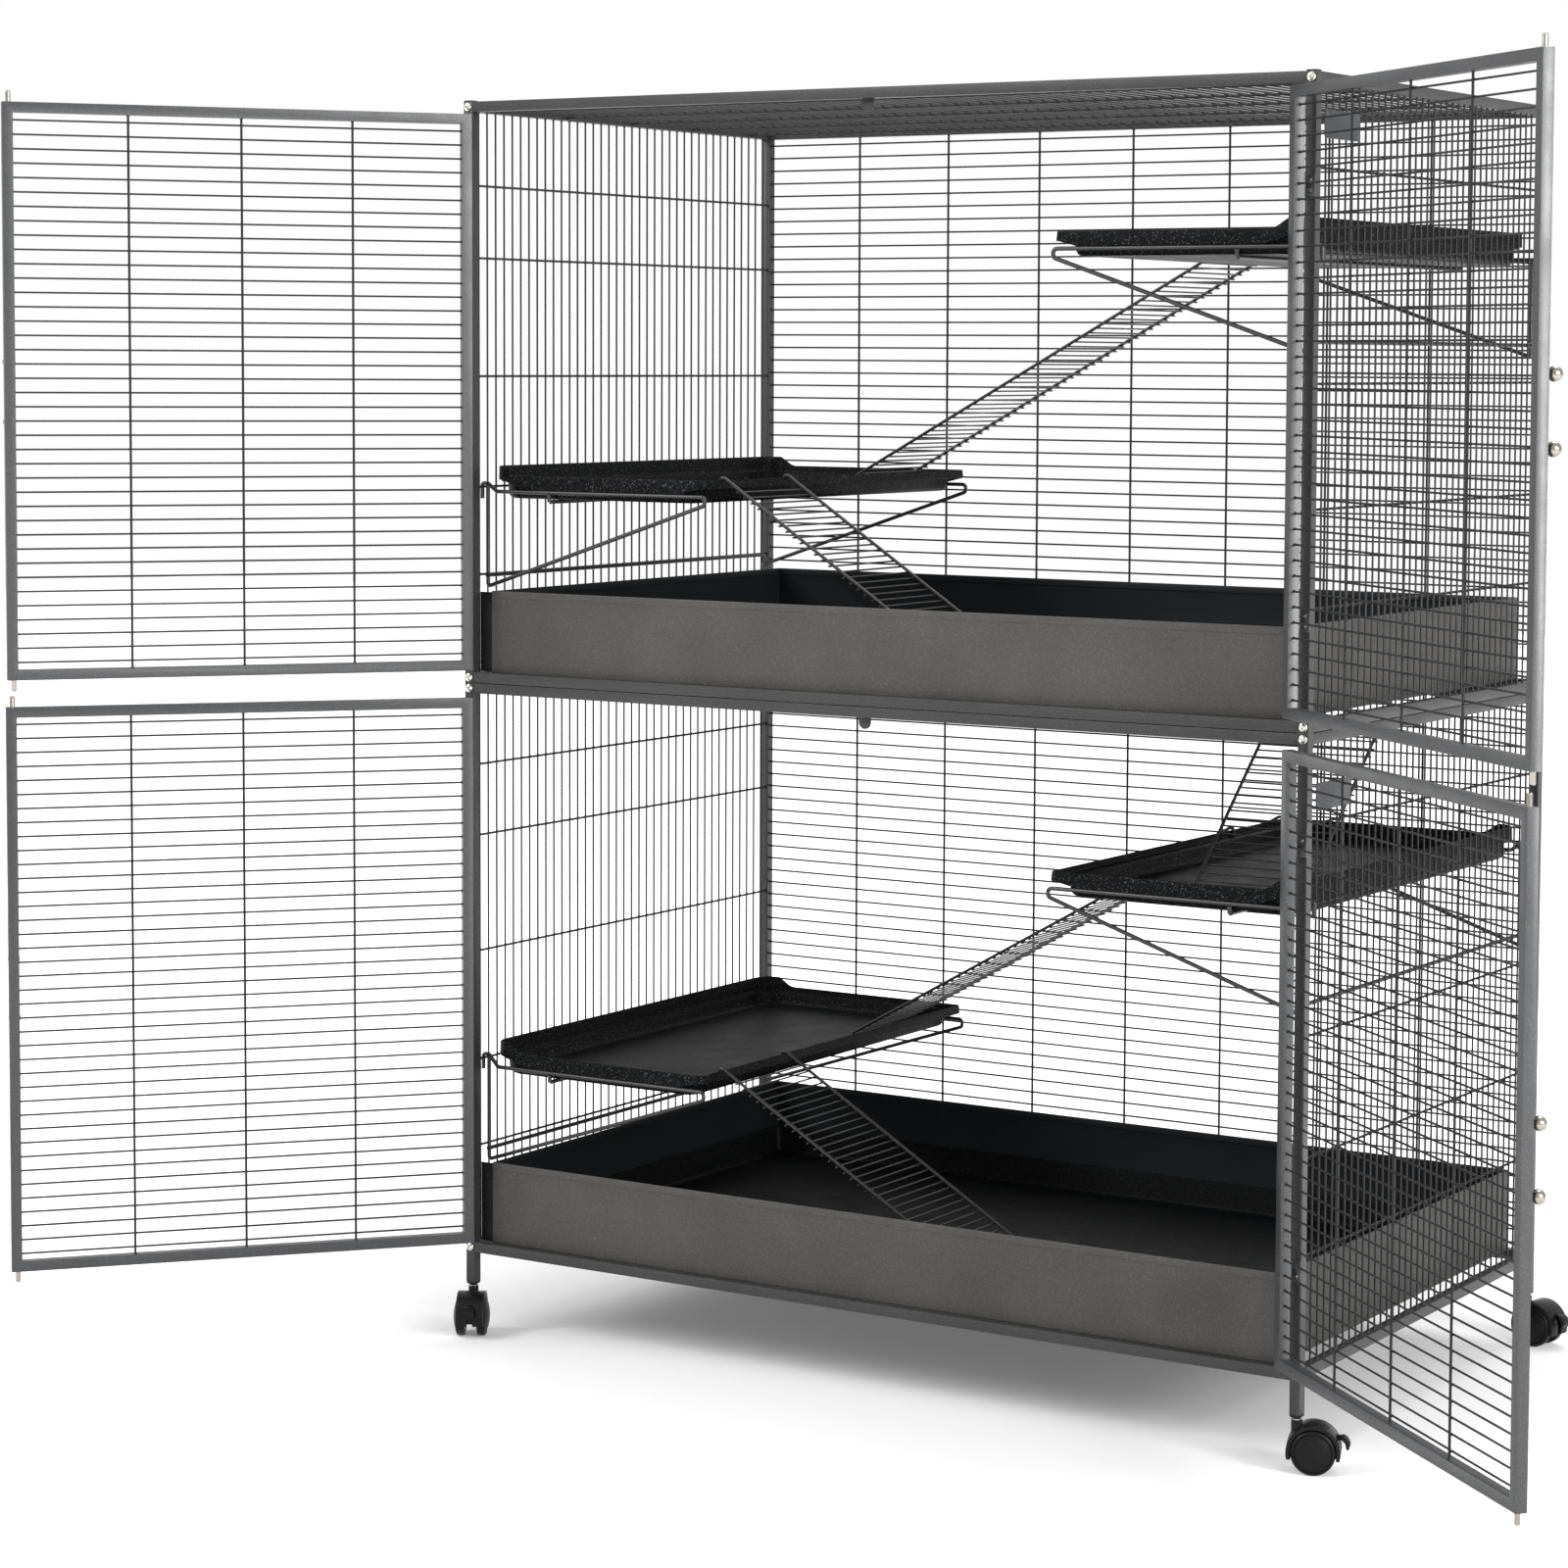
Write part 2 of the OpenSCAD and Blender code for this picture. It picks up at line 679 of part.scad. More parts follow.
// Wire support, local X from the cage's middle towards the mesh as on the left side. Its end
// frames stand in the middle between two mesh wires, at the gap that is nearest to the tray's end.
support_pitch = 2 * in_d / count(2 * in_d);
support_gaps = round((in_d - shelf_d / 2 + support_inset) / support_pitch);
support_y = in_d - support_gaps * support_pitch;
hook_x = in_w + tube / 2 - cross_off + cross_d / 2 + support_d / 2 + slide_gap;
mesh_face_x = in_w + tube / 2 - cross_off - cross_d / 2 - support_d / 2 - slide_gap;
free_x = shelf_edge_x - shelf_w;
wire_end_x = free_x - free_reach + support_d / 2;
lift_run = 14;

function frame_path(top, lift) = [
    [-hook_x, top + lift - hook_drop],
    [-hook_x, top + lift],
    [-mesh_face_x, top + lift],
    [-mesh_face_x + lift_run, top],
    [-wire_end_x, top],
    [-wire_end_x, top - 2 * free_bend],
    [-mesh_face_x, top - brace_drop],
    [-mesh_face_x, top - low_wire_drop - support_d / 2 - weld_gap]
];
frame_bends = [
    support_bend, support_bend, support_bend, free_bend, free_bend, support_bend
];

module support(tier, side) {
    top = top_wire_z(tier, side);
    lift = dip(tier, side);
    clear = support_d / 2 + weld_gap;
    low_top = top - low_wire_drop + clear;
    under_x = -shelf_edge_x + under_wire_x;
    color(steel)
    on_side(side) {
        for (y = [-support_y, support_y]) {
            translate([0, y, 0]) bent_wire(frame_path(top, lift), support_d, frame_bends);
            translate([-mesh_face_x, y, low_top])
                cylinder(h = top + lift - clear - low_top, d = support_d);
            translate([under_x, y, top - under_wire_drop])
                cylinder(h = under_wire_drop - clear, d = support_d);
        }
        translate([-mesh_face_x, 0, top - low_wire_drop]) bar_y(2 * support_y + support_d, support_d);
        translate([under_x, 0, top - under_wire_drop])
            bar_y(2 * support_y - support_d - 2 * weld_gap, support_d);
    }
}

// Ladder: X runs downhill from the outer face of the rim that it hooks over. The line from
// its bend meets the floor below after its run, and the wires stop just above that floor.
function ladder_over(rim) = rim + rail_d / 2 + slide_gap;
function ladder_slope(rim, floor_level, run) = atan2(ladder_over(rim) - floor_level, run);
function ladder_foot(floor_level, slope) = floor_level + slide_gap + rail_d / 2 / cos(slope);
function ladder_path(rim, rim_t, floor_level, slope) =
    let (
        over = ladder_over(rim),
        foot = ladder_foot(floor_level, slope),
        back = -rim_t - rail_d / 2 - slide_gap
    )
    [
        [back, over - ladder_hook],
        [back, over],
        [slide_gap, over],
        [slide_gap + (over - foot) / tan(slope), foot]
    ];

module ladder(rim, rim_t, floor_level, run) {
    over = ladder_over(rim);
    slope = ladder_slope(rim, floor_level, run);
    length = (over - ladder_foot(floor_level, slope)) / sin(slope);
    drop = rail_d / 2 + rung_d / 2 + weld_gap;
    n = floor((length - rung_first - rung_pitch) / rung_pitch);
    color(steel) {
        for (y = [0, ladder_w])
            translate([0, y, 0])
                bent_wire(ladder_path(rim, rim_t, floor_level, slope), rail_d, ladder_bend);
        for (i = [0 : n])
            translate([slide_gap, ladder_w / 2, over])
            rotate([0, slope, 0])
            translate([rung_first + i * rung_pitch, 0, -drop])
                bar_y(ladder_w + 2 * rung_over, rung_d);
    }
}

// Floor ladder: from a left shelf's free rim down to the liner
module floor_ladder(tier) {
    translate([-free_x, floor_ladder_edge - shelf_d / 2, 0])
        ladder(rim_z(tier, -1), tray_t, liner_top_z(tier), floor_run[tier]);
}

// Shelf ladder: from a right shelf's free rim down to the left shelf's floor
module shelf_ladder(tier) {
    run = 2 * free_x + shelf_landing[tier] - slide_gap;
    translate([free_x, shelf_d / 2 - shelf_ladder_edge + ladder_w, 0]) rotate([0, 0, 180])
        ladder(rim_z(tier, 1), tray_t, tray_floor_z(tier, -1), run);
}

// Hatch ladder: from the hatch's back lip down to the lower right shelf
module hatch_ladder() {
    lip = liner_top_z(1) + hatch_lip_h;
    run = hatch_back_y - slide_gap + shelf_d / 2 - hatch_landing;
    translate([hatch_x - ladder_w / 2, hatch_back_y, 0]) rotate([0, 0, -90])
        ladder(lip, hatch_lip_t, tray_floor_z(0, 1), run);
}

// Frame bolts: domed head with a hexagon socket, shank through the post
module frame_bolt() {
    difference() {
        union() {
            rotate_extrude()
                polygon([
                    [0, 0], [head_d / 2, 0], [head_d / 2, head_h * 0.35],
                    [head_d * 0.4, head_h * 0.75], [head_d * 0.27, head_h], [0, head_h]
                ]);
            translate([0, 0, -shank_l]) cylinder(h = shank_l, d = shank_d);
        }
        translate([0, 0, head_h * 0.45]) cylinder(h = head_h, d = head_d * 0.36, $fn = 6);
    }
}

module frame_bolts() {
    color(nickel)
    for (side = [-1, 1], back = [-1, 1], z = bolt_levels())
        translate([side * (half_w - tube / 2), back * half_d, z])
            rotate([back * -90, 0, 0]) frame_bolt();
}

// Hinges: two fixed knuckles with the pin, and the door's knuckle between them
function hinge_levels(tier) = [
    foot_z(tier) + hinge_from_end,
    foot_z(tier) + tier_h - hinge_from_end
];
knuckle_step = knuckle_h + slide_gap;
web_over = 0.5;
leaf_y = hinge_out - leaf_t;
screw_h = 0.8;

// Web that carries a knuckle on its leaf, towards +X
module knuckle(h) {
    cylinder(h = h, d = knuckle_d, center = true);
    translate([0, leaf_y - leaf_t, -h / 2]) cube([knuckle_d / 2 + web_over, 1.5 * leaf_t, h]);
}

module fixed_leaf() {
    h = 3 * knuckle_h + 2 * slide_gap;
    translate([-tube, leaf_y, -h / 2]) cube([tube - 1, leaf_t, h]);
    for (i = [-1, 1])
        translate([0, 0, i * knuckle_step]) mirror([1, 0, 0]) knuckle(knuckle_h);
    cylinder(h = h, d = hinge_pin_d, center = true);
    for (z = [-screw_gap / 2, screw_gap / 2])
        translate([-tube / 2, leaf_y, z]) bar_y(2 * screw_h, screw_d);
}

module hinge_leaves() {
    color(steel)
    for (side = [-1, 1], tier = [0, 1], z = hinge_levels(tier))
        on_side(side) translate([-in_w, -half_d - hinge_out, z]) fixed_leaf();
}

// Doors: local X runs from the hinge axis to the free edge, Y towards the cage's inside
door_w = in_w - door_side_gap - door_mid_gap;
door_h = tier_h - 2 * tube - 2 * door_end_gap;
rod_local_x = door_side_gap + door_w - tube / 2 - rod_shift;
rod_local_y = hinge_out + tube / 2;

// Square tube ring; its hollow opens at both ends of the free stile
module door_frame() {
    translate([door_side_gap, hinge_out, -door_h / 2])
    difference() {
        cube([door_w, tube, door_h]);
        translate([tube, -1, tube]) cube([door_w - 2 * tube, tube + 2, door_h - 2 * tube]);
        difference() {
            translate([tube_wall, tube_wall, tube_wall])
                cube([door_w - 2 * tube_wall, bore, door_h - 2 * tube_wall]);
            translate([tube - tube_wall, 0, tube - tube_wall])
                cube([door_w - 2 * bore - 2 * tube_wall, tube, door_h - 2 * bore - 2 * tube_wall]);
        }
        translate([door_w - tube + tube_wall, tube_wall, -1]) cube([bore, bore, door_h + 2]);
    }
}

module knob_slots() {
    for (i = [-1, 1])
        translate([rod_local_x, hinge_out, i * (knob_z - rod_travel / 2)])
            cube([neck_d + 2 * slide_gap, 2 * tube_wall + 2,
                rod_travel + neck_d + 2 * slide_gap], center = true);
}

module door_knuckle() {
    difference() {
        union() {
            knuckle(knuckle_h);
            translate([1, leaf_y, -knuckle_h / 2]) cube([tube - 1, leaf_t, knuckle_h]);
        }
        cylinder(h = 2 * knuckle_h, r = hinge_pin_d / 2 + run_gap, center = true);
    }
}

module door_mesh() {
    room_w = door_w - 2 * tube;
    room_h = door_h - 2 * tube;
    n = count(room_h);
    mid_x = door_side_gap + door_w / 2;
    translate([mid_x, rod_local_y, 0]) {
        for (i = [0 : n - 1])
            translate([0, 0, -room_h / 2 + (i + 0.5) * room_h / n])
                bar_x(room_w - 2 * weld_gap, wire_d);
        for (i = [1 : door_cross_count])
            translate([(i / (door_cross_count + 1) - 0.5) * room_w, wire_d / 2 + cross_d / 2 + weld_gap, 0])
                cylinder(h = room_h - 2 * weld_gap, d = cross_d, center = true);
    }
}

module stile_plug() {
    plug = bore - 2 * fit_gap;
    difference() {
        cube([plug, plug, plug_h], center = true);
        translate([-rod_shift, 0, 0])
            cylinder(h = plug_h + 2, r = rod_d / 2 + run_gap, center = true);
    }
}

module door_local(tier) {
    difference() {
        door_frame();
        knob_slots();
    }
    door_mesh();
    for (i = [-1, 1])
        translate([rod_local_x + rod_shift, rod_local_y, i * (door_h - plug_h) / 2]) stile_plug();
    for (i = [-1, 1])
        translate([0, 0, i * (tier_h / 2 - hinge_from_end)]) door_knuckle();
}

// Turns a door's own frame to its place: it swings out about the hinge axis
module at_door(tier, side) {
    angle = door_angle[2 * (1 - tier) + (side > 0 ? 1 : 0)];
    on_side(side)
    translate([-in_w, -half_d - hinge_out, foot_z(tier) + tier_h / 2])
    rotate([0, 0, -angle]) children();
}

module door(tier, side) {
    color(steel) at_door(tier, side) door_local(tier);
}

// Bolt rod with its ball knob; end is 1 for the upper rod and -1 for the lower
rod_chamfer = 1.5;
module rod_local(end) {
    tip = door_h / 2 + rod_out;
    tail = knob_z - rod_tail;
    ball_y = hinge_out - knob_out;
    translate([rod_local_x, rod_local_y, 0]) mirror([0, 0, end > 0 ? 0 : 1]) {
        translate([0, 0, tail]) cylinder(h = tip - tail - rod_chamfer, d = rod_d);
        translate([0, 0, tip - rod_chamfer])
            cylinder(h = rod_chamfer, d1 = rod_d, d2 = rod_d - rod_chamfer);
        translate([0, (ball_y - rod_local_y) / 2, knob_z]) bar_y(rod_local_y - ball_y, neck_d);
        translate([0, ball_y - rod_local_y, knob_z]) sphere(d = knob_d);
    }
}

module bolt_rod(tier, side, end) {
    color(nickel) at_door(tier, side) rod_local(end);
}

// Casters: local X points to the trailing side, the stem stands on the Z axis
wheel_r = wheel_d / 2;
hood_r = wheel_r + hood_gap + hood_t;
cut_l = 4 * hood_r;
hood_short = 1.5;
hood_half = wheel_gap / 2 + tread_w - hood_short;
web_half = wheel_gap / 2 - 1;
neck_top = leg_z - cap_foot_h - washer_h - neck_gap;
hood_skirt = 8;
brake_eye_r = brake_arm / 2 + 1;
brake_x = trail + wheel_r - 2 * brake_eye_r;
brake_z = wheel_r + 15;
slot_gap = 0.4;

module hood_shell() {
    difference() {
        bar_y(2 * hood_half, 2 * hood_r);
        for (i = [-1, 1])
            translate([0, i * (web_half + hood_half), 0])
                bar_y(2 * hood_half, 2 * (wheel_r + hood_gap));
        translate([-cut_l / 2, -cut_l / 2, -cut_l - hood_skirt]) cube(cut_l);
    }
}

module hood() {
    difference() {
        union() {
            translate([trail, 0, wheel_r]) hood_shell();
            translate([0, 0, wheel_r]) cylinder(h = neck_top - wheel_r, d = neck_boss_d);
            translate([0, 0, neck_top]) cylinder(h = washer_h, d = washer_d);
            translate([0, 0, wheel_r]) cylinder(h = neck_top + stem_l - wheel_r, d = stem_d);
        }
        wheel_clearance();
        translate([trail, 0, wheel_r]) bar_y(cut_l, axle_d + 2 * run_gap);
        brake_pocket();
    }
    translate([brake_x, 0, brake_z]) bar_y(2 * web_half - 1, brake_pin_d);
}

module wheel_clearance() {
    for (i = [-1, 1])
        translate([trail, i * (web_half + hood_half), wheel_r])
            bar_y(2 * hood_half, 2 * (wheel_r + hood_gap));
}

// Room for the brake lever's eye and its arm, open at the trailing side
module brake_pocket() {
    half = brake_half + slot_gap;
    translate([brake_x, 0, brake_z]) {
        bar_y(2 * half, 2 * (brake_eye_r + slot_gap));
        translate([-1, -half, -cut_l]) cube([cut_l, 2 * half, cut_l]);
        translate([-1, -half, -1]) cube([cut_l, 2 * half, brake_arm / 2 + 1 + slot_gap]);
    }
}

module wheel_disc() {
    rotate([-90, 0, 0]) rotate_extrude()
        polygon([
            [0, 0], [wheel_r - 1, 0], [wheel_r, 1], [wheel_r, tread_w - wheel_edge],
            [wheel_r - wheel_edge, tread_w], [wheel_r / 2, tread_w + cover_bulge],
            [0, tread_w + cover_bulge]
        ]);
}

module wheels() {
    color(plastic) {
        for (i = [0, 1])
            mirror([0, i, 0]) translate([0, wheel_gap / 2, 0]) wheel_disc();
        bar_y(wheel_gap + 2, axle_d);
    }
}

// Brake lever, in the XZ plane: an eye on its pin and an arm that bends down to a tip. The
// outline follows the middle line at half the thickness on either side.
claw_steps = 6;
pedal_start = 1.5;
rib_angles = [5, 25, 45, 65];
function claw_middle() = concat(
    [[0, 0]],
    [
        for (k = [0 : claw_steps])
        let (a = 90 - 90 * k / claw_steps)
        [brake_l + pedal_bend * cos(a), pedal_bend * (sin(a) - 1)]
    ],
    [[brake_l + pedal_bend, -pedal_bend - pedal_tip]]
);
function claw_side(side) =
    let (p = claw_middle(), last = len(p) - 1)
    [
        for (i = [0 : last])
        let (
            a = i == 0 ? heading(p, 0) : i == last ? heading(p, last - 1) : ring_dir(p, i),
            t = i == last ? pedal_tip_t : brake_arm
        )
        p[i] + side * t / 2 * [-sin(a), cos(a)]
    ];
function backwards(p) = [for (i = [len(p) - 1 : -1 : 0]) p[i]];

module claw() {
    rib_r = pedal_bend + brake_arm / 2;
    polygon(concat(claw_side(-1), backwards(claw_side(1))));
    for (a = rib_angles)
        translate([brake_l + rib_r * cos(a), rib_r * sin(a) - pedal_bend])
            circle(d = pedal_rib_d, $fn = 16);
}

module brake() {
    pedal_x = brake_l + pedal_start;
    color(plastic)
    rotate([90, 0, 0]) {
        linear_extrude(2 * brake_half, center = true)
            difference() {
                union() {
                    circle(r = brake_eye_r);
                    claw();
                }
                circle(d = brake_pin_d + 2 * run_gap);
            }
        linear_extrude(2 * pedal_half, center = true)
            intersection() {
                claw();
                translate([pedal_x, -cut_l / 2]) square(cut_l);
            }
    }
}

function corner_no(side, back) = (side > 0 ? 1 : 0) + (back > 0 ? 2 : 0);

module at_caster(side, back) {
    translate([side * (half_w - tube / 2), back * (half_d - tube / 2), 0])
    rotate([0, 0, caster_turn[corner_no(side, back)]]) children();
}

module caster_hood(side, back) {
    color(plastic) at_caster(side, back) hood();
}

module caster_wheels(side, back) {
    at_caster(side, back) translate([trail, 0, wheel_r]) wheels();
}

module caster_brake(side, back) {
    at_caster(side, back) translate([brake_x, 0, brake_z]) brake();
}

post(-1, -1);  // post_fl
post(1, -1);  // post_fr
post(-1, 1);  // post_bl
post(1, 1);  // post_br
post_caps();
rails(0);  // rails_1
rails(1);  // rails_2
rails(2);  // rails_3
rails(3);  // rails_4
mesh_back(0);  // mesh_back_lower
mesh_back(1);  // mesh_back_upper
mesh_side(0, -1);  // mesh_left_lower
mesh_side(1, -1);  // mesh_left_upper
mesh_side(0, 1);  // mesh_right_lower
mesh_side(1, 1);  // mesh_right_upper
mesh_top();
side_plates();
pan(0);  // pan_lower
pan(1);  // pan_upper
liner(0);  // liner_lower
liner(1);  // liner_upper
tray(0, -1);  // tray_ll
tray(0, 1);  // tray_lr
tray(1, -1);  // tray_ul
tray(1, 1);  // tray_ur
support(0, -1);  // support_ll
support(0, 1);  // support_lr
support(1, -1);  // support_ul
support(1, 1);  // support_ur
floor_ladder(1);  // ladder_a
shelf_ladder(1);  // ladder_b
hatch_ladder();  // ladder_c
shelf_ladder(0);  // ladder_d
floor_ladder(0);  // ladder_e
frame_bolts();
hinge_leaves();
door(1, -1);  // door_ul
door(1, 1);  // door_ur
door(0, -1);  // door_ll
door(0, 1);  // door_lr
bolt_rod(1, -1, 1);  // rod_ul_top
bolt_rod(1, -1, -1);  // rod_ul_bottom
bolt_rod(1, 1, 1);  // rod_ur_top
bolt_rod(1, 1, -1);  // rod_ur_bottom
bolt_rod(0, -1, 1);  // rod_ll_top
bolt_rod(0, -1, -1);  // rod_ll_bottom
bolt_rod(0, 1, 1);  // rod_lr_top
bolt_rod(0, 1, -1);  // rod_lr_bottom
caster_hood(-1, -1);  // hood_fl
caster_hood(1, -1);  // hood_fr
caster_hood(-1, 1);  // hood_bl
caster_hood(1, 1);  // hood_br
caster_wheels(-1, -1);  // wheels_fl
caster_wheels(1, -1);  // wheels_fr
caster_wheels(-1, 1);  // wheels_bl
caster_wheels(1, 1);  // wheels_br
caster_brake(-1, -1);  // brake_fl
caster_brake(1, -1);  // brake_fr
caster_brake(-1, 1);  // brake_bl
caster_brake(1, 1);  // brake_br
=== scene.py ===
"""Finish of a two-tier rat cage: rounded tubes, welded wire, moulded trays, ladders, bolts and
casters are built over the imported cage, in metres and in its own frame."""
import json
import math

import bmesh
import bpy
import numpy as np
from mathutils import Matrix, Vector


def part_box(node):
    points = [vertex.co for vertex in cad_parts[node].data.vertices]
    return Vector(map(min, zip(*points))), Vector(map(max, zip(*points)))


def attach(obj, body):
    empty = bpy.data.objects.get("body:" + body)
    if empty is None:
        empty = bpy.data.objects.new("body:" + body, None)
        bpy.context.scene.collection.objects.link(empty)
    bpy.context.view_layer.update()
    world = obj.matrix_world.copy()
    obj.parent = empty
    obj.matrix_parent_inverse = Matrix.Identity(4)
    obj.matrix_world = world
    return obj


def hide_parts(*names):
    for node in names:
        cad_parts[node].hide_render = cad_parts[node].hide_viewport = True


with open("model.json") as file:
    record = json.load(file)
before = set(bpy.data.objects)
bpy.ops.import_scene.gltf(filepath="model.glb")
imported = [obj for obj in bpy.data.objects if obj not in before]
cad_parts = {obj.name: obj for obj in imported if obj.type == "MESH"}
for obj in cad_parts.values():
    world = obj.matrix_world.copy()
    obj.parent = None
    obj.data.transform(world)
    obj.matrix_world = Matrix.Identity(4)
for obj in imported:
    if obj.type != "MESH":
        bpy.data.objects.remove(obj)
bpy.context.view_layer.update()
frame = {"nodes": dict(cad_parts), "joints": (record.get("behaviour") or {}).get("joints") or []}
JOINTS = {joint["name"]: joint for joint in frame["joints"]}
MM = 0.001

# Camera of the photographed view
CAMERA_AT = (2.3551, -4.1047, 1.2198)
CAMERA_YAW = 0.5435
CAMERA_PITCH = -0.0693
CAMERA_ROLL = 0.0059
IMAGE_PX = 1600
FOCAL_PX = 3918.2
CENTRE_PX = (936.1, 637.5)
SENSOR_MM = 36

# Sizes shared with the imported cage
TUBE = 12.5 * MM
TUBE_EDGE = 1.6 * MM
WIRE_R = 1.2 * MM
CROSS_R = 1.5 * MM
MESH_PITCH = 17 * MM
PANEL_CROSS_PITCH = 139.5 * MM
CROSS_OFF = 2.8 * MM
SIDE_CROSS_Z = (133 * MM, 241.5 * MM, 378 * MM, 523 * MM, 611.5 * MM)
SPLASH = 12 * MM
SUPPORT_R = 2.5 * MM
SUPPORT_BEND = 3.2 * MM
RAIL_R = 2 * MM
RUNG_R = 1.1 * MM
RUNG_PITCH = 12 * MM
RUNG_FIRST = 26 * MM
RUNG_OVER = 4 * MM
LADDER_W = 140 * MM
LADDER_HOOK = 9 * MM
LADDER_BEND = 2.6 * MM
SLIDE_GAP = 0.3 * MM
WELD_GAP = 0.1 * MM
LEAST_CORNER = 0.05 * MM
TIERS = ("lower", "upper")
CORNERS = ("fl", "fr", "bl", "br")
SIDES = {"l": -1, "r": 1}


def lowest(node):
    """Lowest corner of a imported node."""
    return np.array(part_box(node)[0])


def highest(node):
    """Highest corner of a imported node."""
    return np.array(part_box(node)[1])


HALF_W = float(highest("post_fr")[0])
HALF_D = float(highest("post_br")[1])
IN_W = HALF_W - TUBE
IN_D = HALF_D - TUBE
FOOT_Z = (float(lowest("rails_1")[2]), float(lowest("rails_3")[2]))
TOP_Z = (float(highest("rails_2")[2]), float(highest("rails_4")[2]))


def unit(v):
    """Each row of v divided by its length."""
    v = np.asarray(v, float)
    return v / np.linalg.norm(v, axis=-1, keepdims=True)


class Pile:
    """Closed surfaces of one piece, gathered as points and as polygons of equal corner counts."""

    def __init__(self, place=None):
        self.place = place
        self.points = []
        self.painted_light_marks = []
        self.polys = []
        self.count = 0

    def add(self, points, polys, painted_light_mark=0.0):
        """One closed surface. Its faces are turned outwards by the sign of its volume, which is
        the sum of a . (b x c) over the triangle fans of its faces."""
        points = np.asarray(points, float)
        painted_light_mark = np.broadcast_to(painted_light_mark, points.shape[:-1]).ravel()
        points = points.reshape(-1, 3)
        if self.place is not None:
            points = self.place(points)
        local = points - points.mean(0)
        volume = 0.0
        for p in polys:
            spokes = np.cross(local[p[:, 1:-1]], local[p[:, 2:]])
            volume += (local[p[:, :1]] * spokes).sum()
        turned = [p[:, ::-1] for p in polys] if volume < 0 else polys
        self.polys += [p + self.count for p in turned]
        self.points.append(points)
        self.painted_light_marks.append(painted_light_mark)
        self.count += len(points)

    def skin(self, rings, loop=False, painted_light_mark=0.0):
        """Surface through rings of n points, for one body or for k bodies at once. Its ends are
        closed by flat faces, or joined to each other if it is a loop. The painted-light mark of a
        point picks the material's second tone: a painted highlight on welds, painted shade in
        pans."""
        rings = np.asarray(rings, float)
        rings = rings.reshape((-1,) + rings.shape[-3:])
        k, m, n = rings.shape[:3]
        first = (np.arange(k) * m * n)[:, None, None]
        i = np.arange(m if loop else m - 1)[None, :, None]
        j = np.arange(n)[None, None, :]
        after_i = (i + 1) % m
        after_j = (j + 1) % n
        corners = [i * n + j, i * n + after_j, after_i * n + after_j, after_i * n + j]
        polys = [np.stack([first + c for c in corners], -1).reshape(-1, 4)]
        if not loop:
            ring = np.arange(n)[None]
            start = first[:, 0]
            polys += [start + ring[:, ::-1], start + (m - 1) * n + ring]
        self.add(rings, polys, painted_light_mark)

    def mesh(self, name):
        """All surfaces as one Blender mesh, with their painted-light marks as a point attribute.
        """
        mesh = bpy.data.meshes.new(name)
        points = np.concatenate(self.points)
        corners = np.concatenate([p.ravel() for p in self.polys]).astype(np.int32)
        sizes = np.concatenate([np.full(len(p), p.shape[1]) for p in self.polys])
        starts = np.concatenate([[0], np.cumsum(sizes)[:-1]]).astype(np.int32)
        mesh.vertices.add(len(points))
        mesh.vertices.foreach_set("co", points.astype(np.float32).ravel())
        mesh.loops.add(len(corners))
        mesh.loops.foreach_set("vertex_index", corners)
        mesh.polygons.add(len(sizes))
        mesh.polygons.foreach_set("loop_start", starts)
        mesh.update(calc_edges=True)
        painted_light_mark = mesh.attributes.new("painted_light_mark", "FLOAT", "POINT")
        painted_light_mark.data.foreach_set("value", np.concatenate(self.painted_light_marks).astype(np.float32))
        return mesh


def circle(radius, sides):
    """Points of a circle about zero, in a plane."""
    a = (np.arange(sides) + 0.5) * 2 * np.pi / sides
    return radius * np.stack([np.cos(a), np.sin(a)], -1)


def outline(low, high, radii, steps=6, stations=()):
    """Rectangle with round corners: an arc about each corner's own centre, from the corner
    (low x, low y) round by (high x, low y). Stations are further x values on its long edges."""
    (x0, y0), (x1, y1) = low, high
    radii = np.broadcast_to(radii, 4)
    centres = [(x0, y0, 1, 1), (x1, y0, -1, 1), (x1, y1, -1, -1), (x0, y1, 1, -1)]
    parts = []
    for q, (x, y, in_x, in_y) in enumerate(centres):
        a = np.radians(180 + 90 * q) + np.linspace(0, np.pi / 2, steps + 1)
        arc = np.stack([np.cos(a), np.sin(a)], -1) * radii[q]
        parts.append(arc + [x + in_x * radii[q], y + in_y * radii[q]])
        if len(stations) and q in (0, 2):
            along = np.array(stations if q == 0 else stations[::-1], float)
            parts.append(np.stack([along, np.full(len(along), y)], -1))
    return np.concatenate(parts)


def rounded(corners, radii, steps=5):
    """Path through the corners, each turned into an arc where it has a radius. Also gives each
    point's corner."""
    corners = np.asarray(corners, float)
    radii = np.broadcast_to(radii, len(corners))
    path, source = [corners[:1]], [[0]]
    for i in range(1, len(corners) - 1):
        if radii[i] == 0:
            path.append(corners[i:i + 1])
            source.append([i])
            continue
        before = unit(corners[i - 1] - corners[i])
        after = unit(corners[i + 1] - corners[i])
        half = math.acos(np.clip(before @ after, -1, 1)) / 2
        cut = radii[i] / math.tan(half)
        middle = corners[i] + unit(before + after) * radii[i] / math.sin(half)
        start = corners[i] + before * cut - middle
        end = corners[i] + after * cut - middle
        swing = np.pi - 2 * half
        t = np.linspace(0, 1, steps + 1)[:, None]
        arc = (np.sin((1 - t) * swing) * start + np.sin(t * swing) * end) / math.sin(swing)
        path.append(middle + arc)
        source.append([i] * (steps + 1))
    path.append(corners[-1:])
    source.append([len(corners) - 1])
    return np.concatenate(path), np.concatenate(source)


LEAST_BISECT = 0.3


